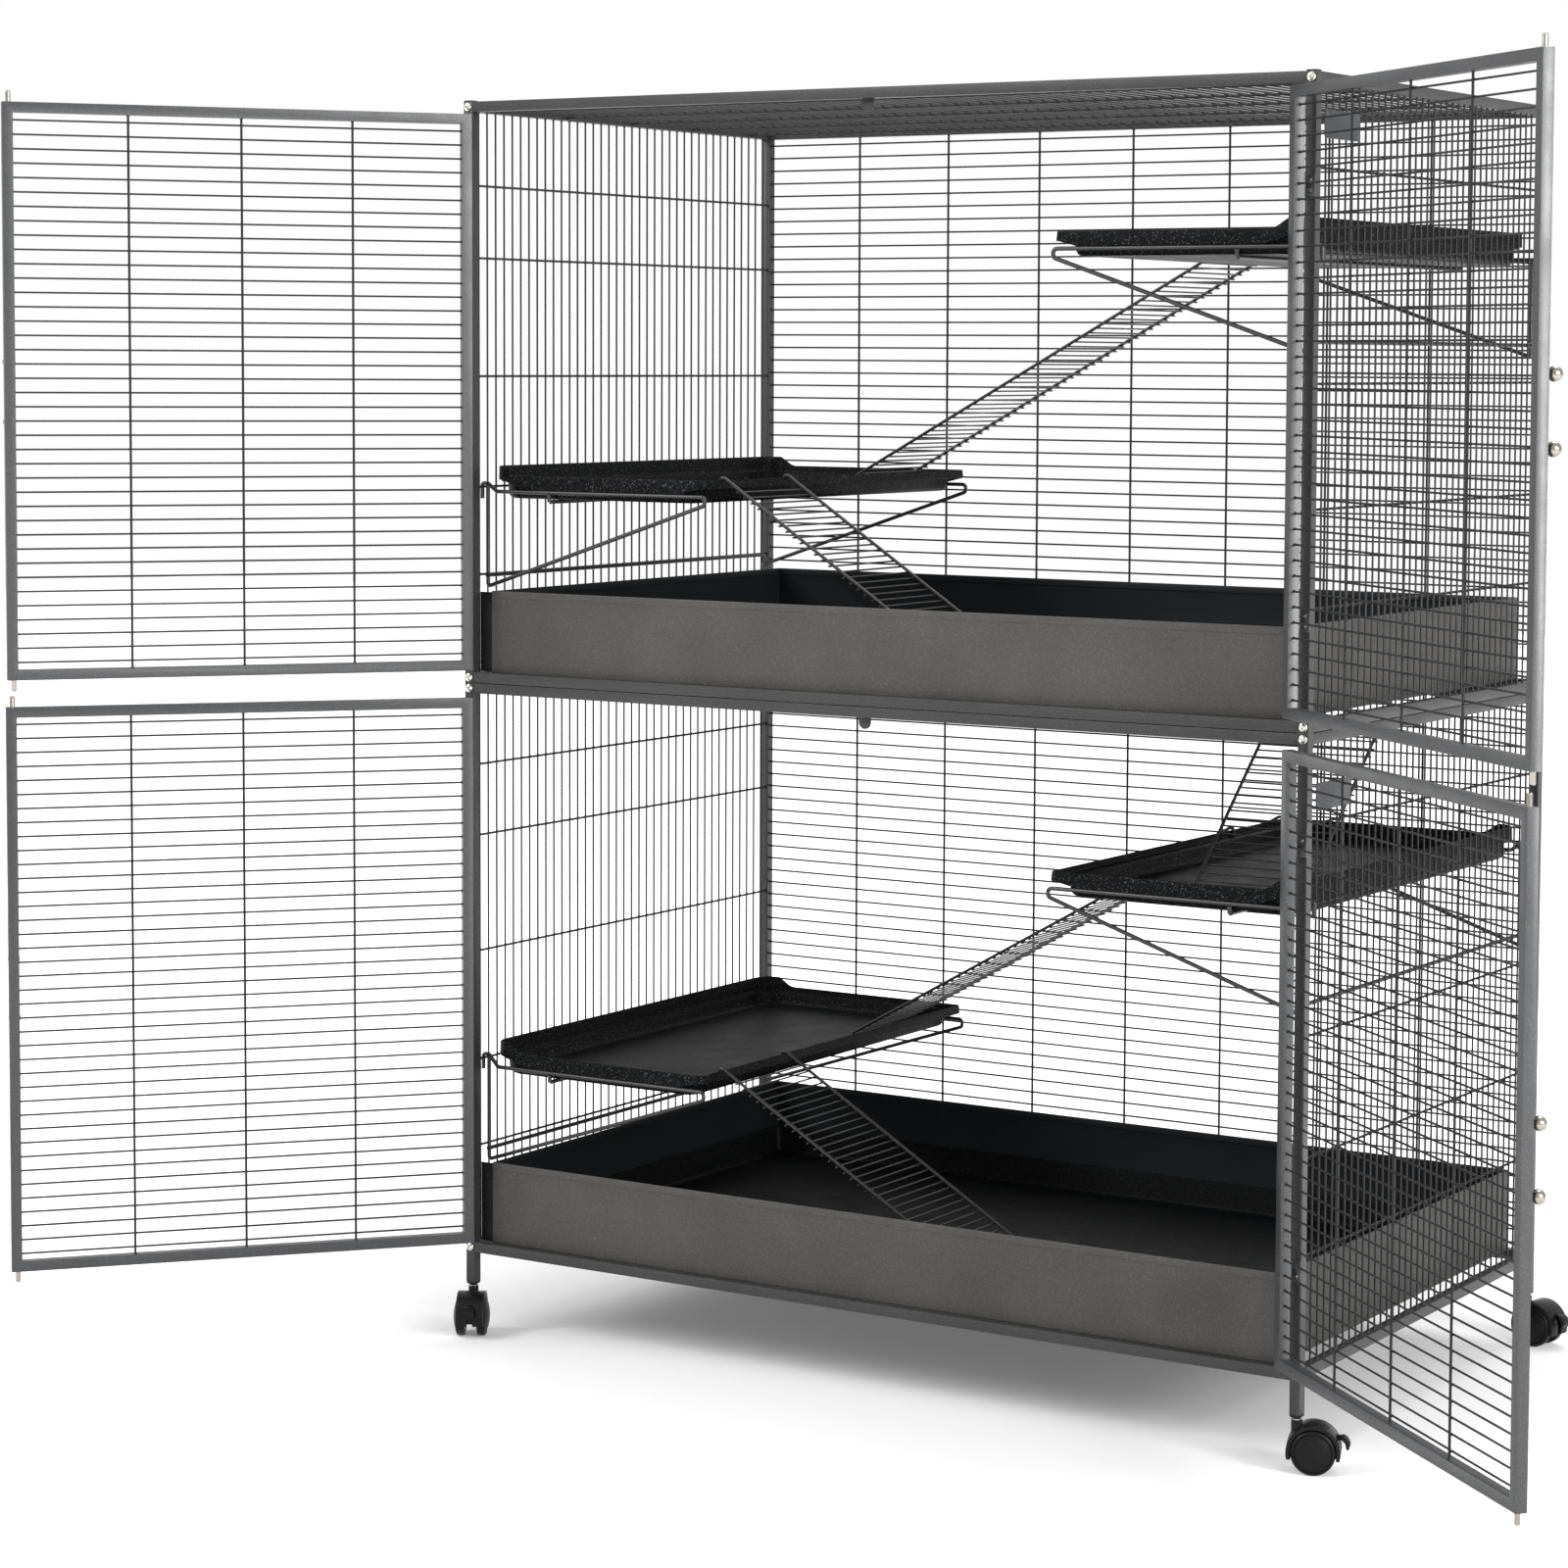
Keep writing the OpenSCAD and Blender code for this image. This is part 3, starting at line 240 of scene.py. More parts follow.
def swept(path, section, across):
    """A section carried along a flat path: its first axis lies in the path's plane, square to
    the bisector of the two stretches that meet, and its second along the plane's normal."""
    path = np.asarray(path, float)
    across = unit(across)
    runs = unit(np.diff(path, axis=0))
    before = np.concatenate([runs[:1], runs])
    after = np.concatenate([runs, runs[-1:]])
    along = unit(before + after)
    stretch = 1 / np.clip((along * before).sum(-1, keepdims=True), LEAST_BISECT, 1)
    normal = np.cross(across, along) * stretch
    section = np.asarray(section, float)
    rings = path[:, None] + section[None, :, :1] * normal[:, None]
    return rings + section[None, :, 1:] * across


WELD_RUN = np.array([0, 0.5, 1.2, 2.2])
WELD_SWELL = np.array([1, 0.75, 0.3, 0])
# Share of the lighter weld tone along a weld: a painted highlight.
WELD_HIGHLIGHT = np.array([1, 1, 0.8, 0])


def rods(pile, starts, ends, radius, sides=10, flare=0.0):
    """Straight wires: a circle carried from each start to its end. With a flare, both ends
    swell into a weld, which falls off over twice the flare's height and is marked with a painted
    highlight."""
    starts = np.atleast_2d(np.asarray(starts, float))
    ends = np.atleast_2d(np.asarray(ends, float))
    along = unit(ends - starts)
    helper = [1, 0, 0] if abs(along[0, 2]) > 0.7 else [0, 0, 1]
    side = unit(np.cross(along, helper))
    up = np.cross(along, side)
    flat = circle(1, sides)
    spokes = flat[:, :1] * side[:, None] + flat[:, 1:] * up[:, None]
    length = np.linalg.norm(ends - starts, axis=-1)
    if flare:
        run, swell, weld_highlight = WELD_RUN * flare, WELD_SWELL * flare, WELD_HIGHLIGHT
    else:
        run = swell = weld_highlight = np.zeros(1)
    steps = np.concatenate([np.tile(run, (len(starts), 1)), length[:, None] - run[::-1]], 1)
    wide = radius + np.concatenate([swell, swell[::-1]])
    rings = (starts[:, None, None] + along[:, None, None] * steps[..., None, None]
             + spokes[:, None] * wide[None, :, None, None])
    # Marks the welds with the painted highlight tone.
    painted_light_mark = np.broadcast_to(np.concatenate([weld_highlight, weld_highlight[::-1]])[:, None], rings.shape[:3])
    pile.skin(rings, painted_light_mark=painted_light_mark)


def lathe(profile, sides=32):
    """A profile of (radius, height) turned about Z, as rings."""
    profile = np.asarray(profile, float)
    flat = circle(1, sides)
    return np.concatenate([profile[:, None, :1] * flat[None],
                           np.broadcast_to(profile[:, None, 1:], (len(profile), sides, 1))], -1)


BEAD_TILTS = np.radians([-66, -24, 24, 66])
BEAD_SIDES = 8
# Tone mark of weld beads: a painted highlight.
BEAD_HIGHLIGHT = 0.6


def beads(pile, centres, size):
    """Weld beads: flattened balls of four rings and two caps about each centre, marked with a
    painted highlight.
    """
    centres = np.asarray(centres, float).reshape(-1, 3)
    ball = lathe(np.stack([np.cos(BEAD_TILTS), np.sin(BEAD_TILTS)], -1), BEAD_SIDES)
    pile.skin(centres[:, None, None] + ball * np.asarray(size), painted_light_mark=BEAD_HIGHLIGHT)


def slab(low, high, radius, corner, steps=4):
    """A flat pad: an outline with round corners, drawn in by a quarter circle at both faces."""
    low, high = np.asarray(low, float), np.asarray(high, float)
    a = np.linspace(0, np.pi / 2, steps + 1)
    inset = radius * (1 - np.sin(a))
    rise = radius * (1 - np.cos(a))
    return stacked(low, high, corner, np.concatenate([inset, inset[::-1]]),
                   np.concatenate([low[2] + rise, high[2] - rise[::-1]]))


def stacked(low, high, corner, insets, heights):
    """Rings of a box with round corners, each drawn in by its inset and laid at its height."""
    rings = []
    for inset, z in zip(insets, heights):
        flat = outline(low[:2] + inset, high[:2] - inset, max(corner - inset, LEAST_CORNER))
        rings.append(np.column_stack([flat, np.full(len(flat), z)]))
    return np.stack(rings)


def turned(matrix, at=(0, 0, 0)):
    """Placement that turns any array of points by a 3 by 3 matrix and then moves them."""
    matrix, at = np.asarray(matrix, float), np.asarray(at, float)
    return lambda points: points @ matrix.T + at


def about_z(degrees):
    """Turn about Z as a 3 by 3 matrix."""
    return np.array(Matrix.Rotation(math.radians(degrees), 3, "Z"))


def about_x(degrees):
    """Turn about X as a 3 by 3 matrix."""
    return np.array(Matrix.Rotation(math.radians(degrees), 3, "X"))


def srgb(*levels):
    """Linear colour of the given 0 to 255 display levels, by the sRGB curve."""
    c = np.array(levels, float) / 255
    linear = np.where(c < 0.04045, c / 12.92, ((c + 0.055) / 1.055) ** 2.4)
    return (*linear.tolist(), 1.0)


# Node trees
NOISE_LOW, NOISE_HIGH = 0.3, 0.7
SHADE_SCALE = 9.0
SHADE_LOW, SHADE_HIGH = 0.86, 1.1
SMEAR_SCALE = 23.0
SMEAR = 0.05
RELIEF = 0.4 * MM


def add(tree, kind, inputs=None, **settings):
    """One node with its settings; an input is a value or another node's output."""
    node = tree.nodes.new(kind)
    for name, value in settings.items():
        setattr(node, name, value)
    for name, value in (inputs or {}).items():
        if isinstance(value, bpy.types.NodeSocket):
            tree.links.new(value, node.inputs[name])
        else:
            node.inputs[name].default_value = value
    return node


def new_group(name, inputs, outputs):
    """An empty node group with the named sockets, and its two end nodes."""
    tree = bpy.data.node_groups.new(name, "ShaderNodeTree")
    for label, kind in inputs:
        tree.interface.new_socket(label, in_out="INPUT", socket_type="NodeSocket" + kind)
    for label, kind in outputs:
        tree.interface.new_socket(label, in_out="OUTPUT", socket_type="NodeSocket" + kind)
    return tree, tree.nodes.new("NodeGroupInput").outputs, tree.nodes.new("NodeGroupOutput").inputs


def fleck_group():
    """Powder coat or moulded grain: a fine grain gives the height, its crests the flecks."""
    tree, given, out = new_group(
        "flecks",
        [("Vector", "Vector"), ("Grain", "Float"), ("Base", "Color"), ("Fleck", "Color"),
         ("Bare", "Float"), ("Full", "Float")],
        [("Color", "Color"), ("Height", "Float"), ("Mask", "Float")])
    fine = add(tree, "ShaderNodeTexNoise",
               {"Vector": given["Vector"], "Scale": given["Grain"], "Detail": 2.0})
    wide = add(tree, "ShaderNodeTexNoise", {"Vector": given["Vector"], "Scale": SHADE_SCALE})
    mask = add(tree, "ShaderNodeMapRange",
               {"Value": fine.outputs["Fac"], "From Min": given["Bare"],
                "From Max": given["Full"]})
    shade = add(tree, "ShaderNodeMapRange",
                {"Value": wide.outputs["Fac"], "From Min": NOISE_LOW, "From Max": NOISE_HIGH,
                 "To Min": SHADE_LOW, "To Max": SHADE_HIGH})
    mixed = add(tree, "ShaderNodeMix",
                {0: mask.outputs["Result"], 6: given["Base"], 7: given["Fleck"]},
                data_type="RGBA")
    toned = add(tree, "ShaderNodeVectorMath",
                {0: mixed.outputs[2], "Scale": shade.outputs["Result"]}, operation="SCALE")
    tree.links.new(toned.outputs["Vector"], out["Color"])
    tree.links.new(fine.outputs["Fac"], out["Height"])
    tree.links.new(mask.outputs["Result"], out["Mask"])
    return tree


FLECKS = fleck_group()


def surface(name, base, fleck, grain, share, rough, bump, painted_light_tone=None, shine=0.5, metal=0.0):
    """Material of a fleck grain over a base colour, with smears in its roughness and a second
    tone where the piece is marked: a painted highlight on welds and tie beads, and painted
    shade inside a pan and on its flaps and foot. The share holds the grain heights at which
    the flecks begin and are full."""
    material = bpy.data.materials.new(name)
    material.use_nodes = True
    tree = material.node_tree
    shader = tree.nodes["Principled BSDF"]
    place = add(tree, "ShaderNodeTexCoord").outputs["Object"]
    flecks = add(tree, "ShaderNodeGroup",
                 {"Vector": place, "Grain": grain, "Base": srgb(*base), "Fleck": srgb(*fleck),
                  "Bare": share[0], "Full": share[1]}, node_tree=FLECKS)
    colour = flecks.outputs["Color"]
    # Painted light: marked points take the second tone, a painted highlight on welds and painted
    # shade inside pans.
    if painted_light_tone:
        painted_light_mark = add(tree, "ShaderNodeAttribute", attribute_name="painted_light_mark").outputs["Fac"]
        colour = add(tree, "ShaderNodeMix", {0: painted_light_mark, 6: colour, 7: srgb(*painted_light_tone)},
                     data_type="RGBA").outputs[2]
    smear = add(tree, "ShaderNodeTexNoise", {"Vector": place, "Scale": SMEAR_SCALE})
    gloss = add(tree, "ShaderNodeMapRange",
                {"Value": smear.outputs["Fac"], "From Min": NOISE_LOW, "From Max": NOISE_HIGH,
                 "To Min": rough - SMEAR, "To Max": rough + SMEAR})
    relief = add(tree, "ShaderNodeBump",
                 {"Height": flecks.outputs["Height"], "Strength": bump, "Distance": RELIEF})
    tree.links.new(colour, shader.inputs["Base Color"])
    tree.links.new(gloss.outputs["Result"], shader.inputs["Roughness"])
    tree.links.new(relief.outputs["Normal"], shader.inputs["Normal"])
    shader.inputs["Specular IOR Level"].default_value = shine
    shader.inputs["Metallic"].default_value = metal
    return material


MATERIALS = {
    "frame_steel": surface("hammertone", (46, 46, 46), (78, 78, 75), 560, (0.56, 0.74),
                           0.42, 0.3, shine=0.35),
    # Second tone: a painted highlight on welds and crossings.
    "mesh_steel": surface("coated_wire", (26, 26, 27), (46, 46, 45), 700, (0.6, 0.78),
                          0.42, 0.08, painted_light_tone=(40, 40, 39), shine=0.22),
    # Second tone: a lighter painted highlight tone.
    "door_steel": surface("door_hammertone", (45, 46, 48), (76, 77, 78), 560, (0.56, 0.74),
                          0.38, 0.25, painted_light_tone=(90, 90, 88), shine=0.6),
    # Second tone: painted shade inside the pan and on its flaps and foot.
    "pan_steel": surface("pan_hammertone", (70, 69, 67), (84, 83, 81), 430, (0.5, 0.75),
                         0.5, 0.12, painted_light_tone=(22, 24, 26), shine=0.2),
    "liner_plastic": surface("liner_plastic", (10, 11, 12), (34, 35, 37), 480, (0.56, 0.72),
                             0.5, 0.4, shine=0.05),
    "tray_plastic": surface("tray_plastic", (9, 10, 11), (78, 79, 82), 520, (0.59, 0.72),
                            0.44, 0.8, shine=0.05),
    # Second tone: a painted highlight on welds.
    "support_steel": surface("support_wire", (36, 36, 36), (60, 60, 59), 700, (0.6, 0.78),
                             0.34, 0.08, painted_light_tone=(58, 58, 56), shine=0.4),
    # Second tone: a painted highlight on welds and beads.
    "ladder_steel": surface("ladder_wire", (38, 38, 37), (62, 62, 60), 700, (0.6, 0.78),
                            0.34, 0.08, painted_light_tone=(46, 46, 44), shine=0.32),
    "cap_plastic": surface("cap_plastic", (16, 16, 17), (28, 28, 29), 300, (0.55, 0.8),
                           0.45, 0.08, shine=0.3),
    "bolt_nickel": surface("bolt_nickel", (205, 203, 196), (225, 223, 218), 900, (0.6, 0.9),
                           0.2, 0.02, metal=1.0),
    "rod_nickel": surface("rod_nickel", (150, 145, 137), (176, 172, 164), 900, (0.6, 0.9),
                          0.2, 0.02, metal=1.0),
    # Second tone: a painted highlight on the tie beads.
    "plate_steel": surface("plate_coat", (40, 42, 46), (62, 64, 70), 500, (0.56, 0.75),
                           0.42, 0.2, painted_light_tone=(110, 110, 110), shine=0.3),
    "hood_plastic": surface("hood_plastic", (15, 15, 16), (28, 28, 30), 260, (0.55, 0.85),
                            0.32, 0.06, shine=0.18),
    "wheel_plastic": surface("wheel_plastic", (16, 16, 17), (30, 30, 32), 260, (0.55, 0.85),
                             0.36, 0.06, shine=0.15),
}


MERGE_GAP = 0.001 * MM
FLAT_DEGREES = 1
BEVEL_DEGREES = 40
SHARP_DEGREES = 38
SOFT_DEGREES = 50


def linked(name, data):
    """A new object of the scene."""
    thing = bpy.data.objects.new(name, data)
    bpy.context.scene.collection.objects.link(thing)
    return thing


def piece(name, pile, body, slot, *nodes, sharp=SHARP_DEGREES):
    """Links a pile as one piece: smooth within the given angle, riding on its body."""
    thing = linked(name, pile.mesh(name))
    thing.data.shade_smooth()
    thing.data.set_sharp_from_angle(angle=math.radians(sharp))
    thing.data.materials.append(MATERIALS[slot])
    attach(thing, body)
    if nodes:
        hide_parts(*nodes)


def eased(name, node, body, slot, radius, segments=3, keep=None):
    """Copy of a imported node, shown instead of it, whose loose triangles are merged and whose
    edges are rounded by a bevel. keep says from a solid's points whether it stays."""
    work = bmesh.new()
    work.from_mesh(frame["nodes"][node].data)
    bmesh.ops.remove_doubles(work, verts=work.verts, dist=MERGE_GAP)
    if keep is not None:
        unwanted = []
        for island in islands(work):
            if not keep(np.array([v.co for v in island])):
                unwanted += island
        bmesh.ops.delete(work, geom=unwanted, context="VERTS")
    bmesh.ops.dissolve_limit(work, angle_limit=math.radians(FLAT_DEGREES), verts=work.verts,
                             edges=work.edges)
    mesh = bpy.data.meshes.new(name)
    work.to_mesh(mesh)
    work.free()
    mesh.materials.clear()
    mesh.materials.append(MATERIALS[slot])
    mesh.shade_smooth()
    thing = linked(name, mesh)
    bevel = thing.modifiers.new("edge", "BEVEL")
    bevel.width = radius
    bevel.segments = segments
    bevel.limit_method = "ANGLE"
    bevel.angle_limit = math.radians(BEVEL_DEGREES)
    bevel.harden_normals = True
    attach(thing, body)
    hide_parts(node)


def islands(work):
    """Separate solids of an edit mesh, as groups of joined vertices."""
    left = set(work.verts)
    groups = []
    while left:
        seed = [left.pop()]
        group = list(seed)
        while seed:
            for edge in seed.pop().link_edges:
                for v in edge.verts:
                    if v in left:
                        left.remove(v)
                        seed.append(v)
                        group.append(v)
        groups.append(group)
    return groups


# Frame
def make_frame():
    """Posts and rings of rails with rounded edges."""
    for corner in CORNERS:
        eased(f"post_{corner}_tube", "post_" + corner, "cage", "frame_steel", TUBE_EDGE)
    for level in range(1, 5):
        eased(f"rails_{level}_tubes", f"rails_{level}", "cage", "frame_steel", TUBE_EDGE)


# Wire panels
def spread(low, high, pitch):
    """Places of wires at an even pitch, as near to the wanted one as whole wires allow."""
    n = round((high - low) / pitch)
    return low + (np.arange(n) + 0.5) * (high - low) / n


WIRE_FLARE = 0.7 * MM
CROSS_FLARE = 0.8 * MM
CROSSING_SIZE = np.array([1.9, 1.6, 1.3]) * MM


def grid_wires(pile, u, v, reach_u, reach_v, level, cross_level, axes):
    """A welded panel: wires at the places v along the first axis, cross wires at the places u
    along the second, and a bead at each crossing. axes gives the panel's three directions."""
    axes = np.asarray(axes, float)

    def at(*places):
        """Points at the given places along the panel's directions."""
        return np.stack(np.broadcast_arrays(*places), -1) @ axes

    rods(pile, at(reach_u[0], v, level), at(reach_u[1], v, level), WIRE_R, 8, WIRE_FLARE)
    rods(pile, at(u, reach_v[0], cross_level), at(u, reach_v[1], cross_level), CROSS_R, 10,
         CROSS_FLARE)
    cross_u, cross_v = np.meshgrid(u, v)
    middle = level + (cross_level - level) * WIRE_R / (WIRE_R + CROSS_R)
    beads(pile, at(cross_u.ravel(), cross_v.ravel(), middle), np.abs(CROSSING_SIZE @ axes))


def centred(half):
    """Places of cross wires at their pitch, one of them in the middle of the panel."""
    count = math.floor((half - TUBE) / PANEL_CROSS_PITCH)
    return np.arange(-count, count + 1) * PANEL_CROSS_PITCH


def make_mesh_panels():
    """Back and side panels of both tiers, and the top panel."""
    for tier, word in enumerate(TIERS):
        low, high = FOOT_Z[tier] + TUBE, TOP_Z[tier] - TUBE
        pile = Pile()
        grid_wires(pile, centred(IN_W), spread(low, high, MESH_PITCH), (-IN_W, IN_W), (low, high),
                   HALF_D - TUBE / 2, HALF_D - TUBE / 2 - CROSS_OFF,
                   [[1, 0, 0], [0, 0, 1], [0, 1, 0]])
        piece("back_wires_" + word, pile, "cage", "mesh_steel", "mesh_back_" + word)
        for side, sign in (("left", -1), ("right", 1)):
            pile = Pile()
            grid_wires(pile, FOOT_Z[tier] + np.array(SIDE_CROSS_Z),
                       spread(-IN_D, IN_D, MESH_PITCH), (low, high), (-IN_D, IN_D),
                       sign * (HALF_W - TUBE / 2), sign * (HALF_W - TUBE / 2 - CROSS_OFF),
                       [[0, 0, 1], [0, 1, 0], [1, 0, 0]])
            piece(f"{side}_wires_{word}", pile, "cage", "mesh_steel", f"mesh_{side}_{word}")
    pile = Pile()
    grid_wires(pile, centred(IN_D), spread(-IN_W, IN_W, MESH_PITCH), (-IN_D, IN_D), (-IN_W, IN_W),
               TOP_Z[1] - TUBE / 2, TOP_Z[1] - TUBE / 2 - CROSS_OFF,
               [[0, 1, 0], [1, 0, 0], [0, 0, 1]])
    piece("top_wires", pile, "cage", "mesh_steel", "mesh_top")


# Shelf trays
TRAY_T = 3 * MM
BAND_H = 17 * MM
FREE_BAND_H = 11 * MM
MESH_BAND_H = 5 * MM
TRAY_DEPTH = 28 * MM
LEDGE_DEPTH = 7.5 * MM
SIDE_STEP = 6 * MM
FREE_STEP = 17 * MM
SPLASH_RETURN = 29 * MM
SPLASH_RAMP = 23 * MM
BODY_CORNER = 20 * MM
MESH_BODY_CORNER = 34 * MM
MESH_CORNER = 27 * MM
FREE_CORNER = 9 * MM
BODY_DRAFT = 3 * MM
SIDE_FLARE = 0.8 * MM
FREE_FLARE = 2 * MM
RAMP_STATIONS = 10
LEAST_RADIUS = 4 * MM
FLOOR_MARGIN = 14 * MM
INNER_MARGIN = 16 * MM
FLOOR_BEND = 8 * MM
RIM_BEND = 1.2 * MM
INNER_RIM_BEND = 1.1 * MM
LEDGE_BEND = 1.5 * MM
END_BEND = 1 * MM
BAND_IN = 0.3 * MM
BAND_BEND = 0.6 * MM
WALL_IN = 0.2 * MM
LEDGE_IN = 0.6 * MM
BAND_START = 8 * MM
BAND_RUN = 56 * MM
BAND_CORNERS = (2, 3)
FREE_RUN = 9 * MM


def eased_step(x, start, run):
    """Rises from 0 to 1 over the run, level at both ends."""
    t = np.clip((x - start) / run, 0, 1)
    return t * t * (3 - 2 * t)


def tray_profile(step, flare):
    """Wall of a tray from its foot out to the rim and back down to its floor: corners as
    (inset, height, whether it follows the sunk body, share of the splash wall, radius)."""
    foot = step + BODY_DRAFT
    return [
        (foot + FLOOR_MARGIN, -TRAY_DEPTH, True, 0, END_BEND),
        (foot, -TRAY_DEPTH, True, 0, FLOOR_BEND),
        (step, -BAND_H, True, 0, RIM_BEND),
        (BAND_IN, -BAND_H, False, 0, BAND_BEND),
        (flare, 0, False, 1, RIM_BEND),
        (TRAY_T + WALL_IN, 0, False, 1, INNER_RIM_BEND),
        (TRAY_T + LEDGE_IN, -LEDGE_DEPTH, False, 0, LEDGE_BEND),
        (step + TRAY_T, -LEDGE_DEPTH, True, 0, LEDGE_BEND),
        (foot + TRAY_T, TRAY_T - TRAY_DEPTH, True, 0, FLOOR_BEND),
        (foot + INNER_MARGIN, TRAY_T - TRAY_DEPTH, True, 0, END_BEND),
    ]


def make_tray(node, side):
    """A moulded tray: rings of an outline with round corners, drawn in and down by the wall's
    profile. The free side has a profile of its own, taken up round its two corners. The splash
    wall comes down along a quarter of a sine wave, steep first."""
    low, high = lowest(node), highest(node)
    rim = high[2] - SPLASH
    width, half = high[0] - low[0], (high[1] - low[1]) / 2
    near = tray_profile(SIDE_STEP, SIDE_FLARE)
    free = tray_profile(FREE_STEP, FREE_FLARE)
    near_path, source = rounded([p[:2] for p in near], [p[4] for p in near])
    free_path = rounded([p[:2] for p in free], [p[4] for p in free])[0]
    free_start = width - FREE_STEP - FREE_RUN
    stations = np.concatenate([
        np.linspace(SPLASH_RETURN + BODY_DRAFT * 2, SPLASH_RETURN + SPLASH_RAMP, RAMP_STATIONS),
        np.linspace(SPLASH_RETURN + SPLASH_RAMP, BAND_START + BAND_RUN, 4)[1:],
        np.linspace(free_start - BODY_CORNER, free_start + FREE_RUN - BODY_CORNER, 2)])
    rings = []
    for (inset, z), (free_inset, _), corner in zip(near_path, free_path, source):
        sunk, lift = near[corner][2:4]
        if sunk:
            radii = (MESH_BODY_CORNER + SIDE_STEP - inset, BODY_CORNER + FREE_STEP - free_inset)
        else:
            radii = (MESH_CORNER - inset, FREE_CORNER - free_inset)
        radii = np.maximum(radii, LEAST_RADIUS)
        flat = outline((inset, inset - half), (width - free_inset, half - inset),
                       radii[[0, 1, 1, 0]], 8, stations)
        fall = np.clip((flat[:, 0] - SPLASH_RETURN) / SPLASH_RAMP, 0, 1)
        height = z + lift * SPLASH * (1 - np.sin(fall * np.pi / 2))
        if corner in BAND_CORNERS:
            deep = eased_step(flat[:, 0], BAND_START, BAND_RUN)
            shallow = eased_step(flat[:, 0], free_start, FREE_RUN)
            height += (BAND_H - MESH_BAND_H) * (1 - deep) + (BAND_H - FREE_BAND_H) * shallow
        rings.append(np.column_stack([flat, height]))
    sign = SIDES[side]
    pile = Pile(turned(np.diag([-sign, 1, 1]), (sign * max(abs(low[0]), abs(high[0])), 0, rim)))
    pile.skin(np.stack(rings))
    piece(node + "_shell", pile, "cage", "tray_plastic", node, sharp=SOFT_DEGREES)


# Wire supports
SUPPORT_N = round(2 * IN_D / MESH_PITCH)
SUPPORT_Y = IN_D - 2 * IN_D / SUPPORT_N
MESH_FACE_X = IN_W + TUBE / 2 - CROSS_OFF - CROSS_R - SUPPORT_R - SLIDE_GAP
HOOK_X = IN_W + TUBE / 2 - CROSS_OFF + CROSS_R + SUPPORT_R + SLIDE_GAP
HOOK_DROP = 19 * MM
LIFT_RUN = 14 * MM
BRACE_DROP = 118 * MM
LOW_WIRE_DROP = 104 * MM
UNDER_WIRE_IN = 90 * MM
UNDER_WIRE_DROP = 11.2 * MM
HOOK_ROW = {"l": 1, "r": 3}
FREE_BEND = 5 * MM
FREE_REACH = 3 * MM
LEAST_DIP = 1 * MM
SUPPORT_SIDES = 12
SUPPORT_FLARE = 0.3 * MM


def make_support(node, side, tray, tier):
    """Wire bracket of a tray: two bent frames joined by straight wires, each welded on."""
    sign = SIDES[side]
    low, high = lowest(tray), highest(tray)
    edge = max(abs(low[0]), abs(high[0]))
    free = min(abs(low[0]), abs(high[0]))
    top = high[2] - SPLASH - BAND_H - WELD_GAP - SUPPORT_R
    hook = FOOT_Z[tier] + SIDE_CROSS_Z[HOOK_ROW[side]] + CROSS_R + SUPPORT_R + SLIDE_GAP
    end = free - FREE_REACH + SUPPORT_R
    low_z = top - LOW_WIRE_DROP
    under, under_z = edge - UNDER_WIRE_IN, top - UNDER_WIRE_DROP
    clear = SUPPORT_R + WELD_GAP
    corners = [(HOOK_X, hook - HOOK_DROP), (HOOK_X, hook), (MESH_FACE_X, hook),
               (MESH_FACE_X - LIFT_RUN, top), (end, top), (end, top - 2 * FREE_BEND),
               (MESH_FACE_X, top - BRACE_DROP),
               (MESH_FACE_X, low_z - clear)]
    bends = [0, SUPPORT_BEND, SUPPORT_BEND, SUPPORT_BEND, FREE_BEND, FREE_BEND, SUPPORT_BEND, 0]
    if hook - top < LEAST_DIP:
        del corners[2:4], bends[2:4]
    pile = Pile(turned(np.diag([sign, 1, 1])))
    for y in (-SUPPORT_Y, SUPPORT_Y):
        path = rounded([(x, 0, z) for x, z in corners], bends, 6)[0]
        pile.skin(swept(path + [0, y, 0], circle(SUPPORT_R, SUPPORT_SIDES), (0, 1, 0)))
        rods(pile, (MESH_FACE_X, y, low_z + clear), (MESH_FACE_X, y, hook - clear), SUPPORT_R,
             SUPPORT_SIDES, SUPPORT_FLARE)
        rods(pile, (under, y, under_z), (under, y, top - clear), SUPPORT_R, SUPPORT_SIDES,
             SUPPORT_FLARE)
    rods(pile, (MESH_FACE_X, -SUPPORT_Y - SUPPORT_R, low_z),
         (MESH_FACE_X, SUPPORT_Y + SUPPORT_R, low_z), SUPPORT_R, SUPPORT_SIDES)
    rods(pile, (under, clear - SUPPORT_Y, under_z), (under, SUPPORT_Y - clear, under_z),
         SUPPORT_R, SUPPORT_SIDES, SUPPORT_FLARE)
    piece(node + "_wires", pile, "cage", "support_steel", node)


# Ladders
RAIL_SIDES = 12
RUNG_GAP = 0.02 * MM
RUNG_BEAD_UP = 0.8 * RUNG_R
RUNG_BEAD = np.array([1.7, 1.9, 1.2]) * MM


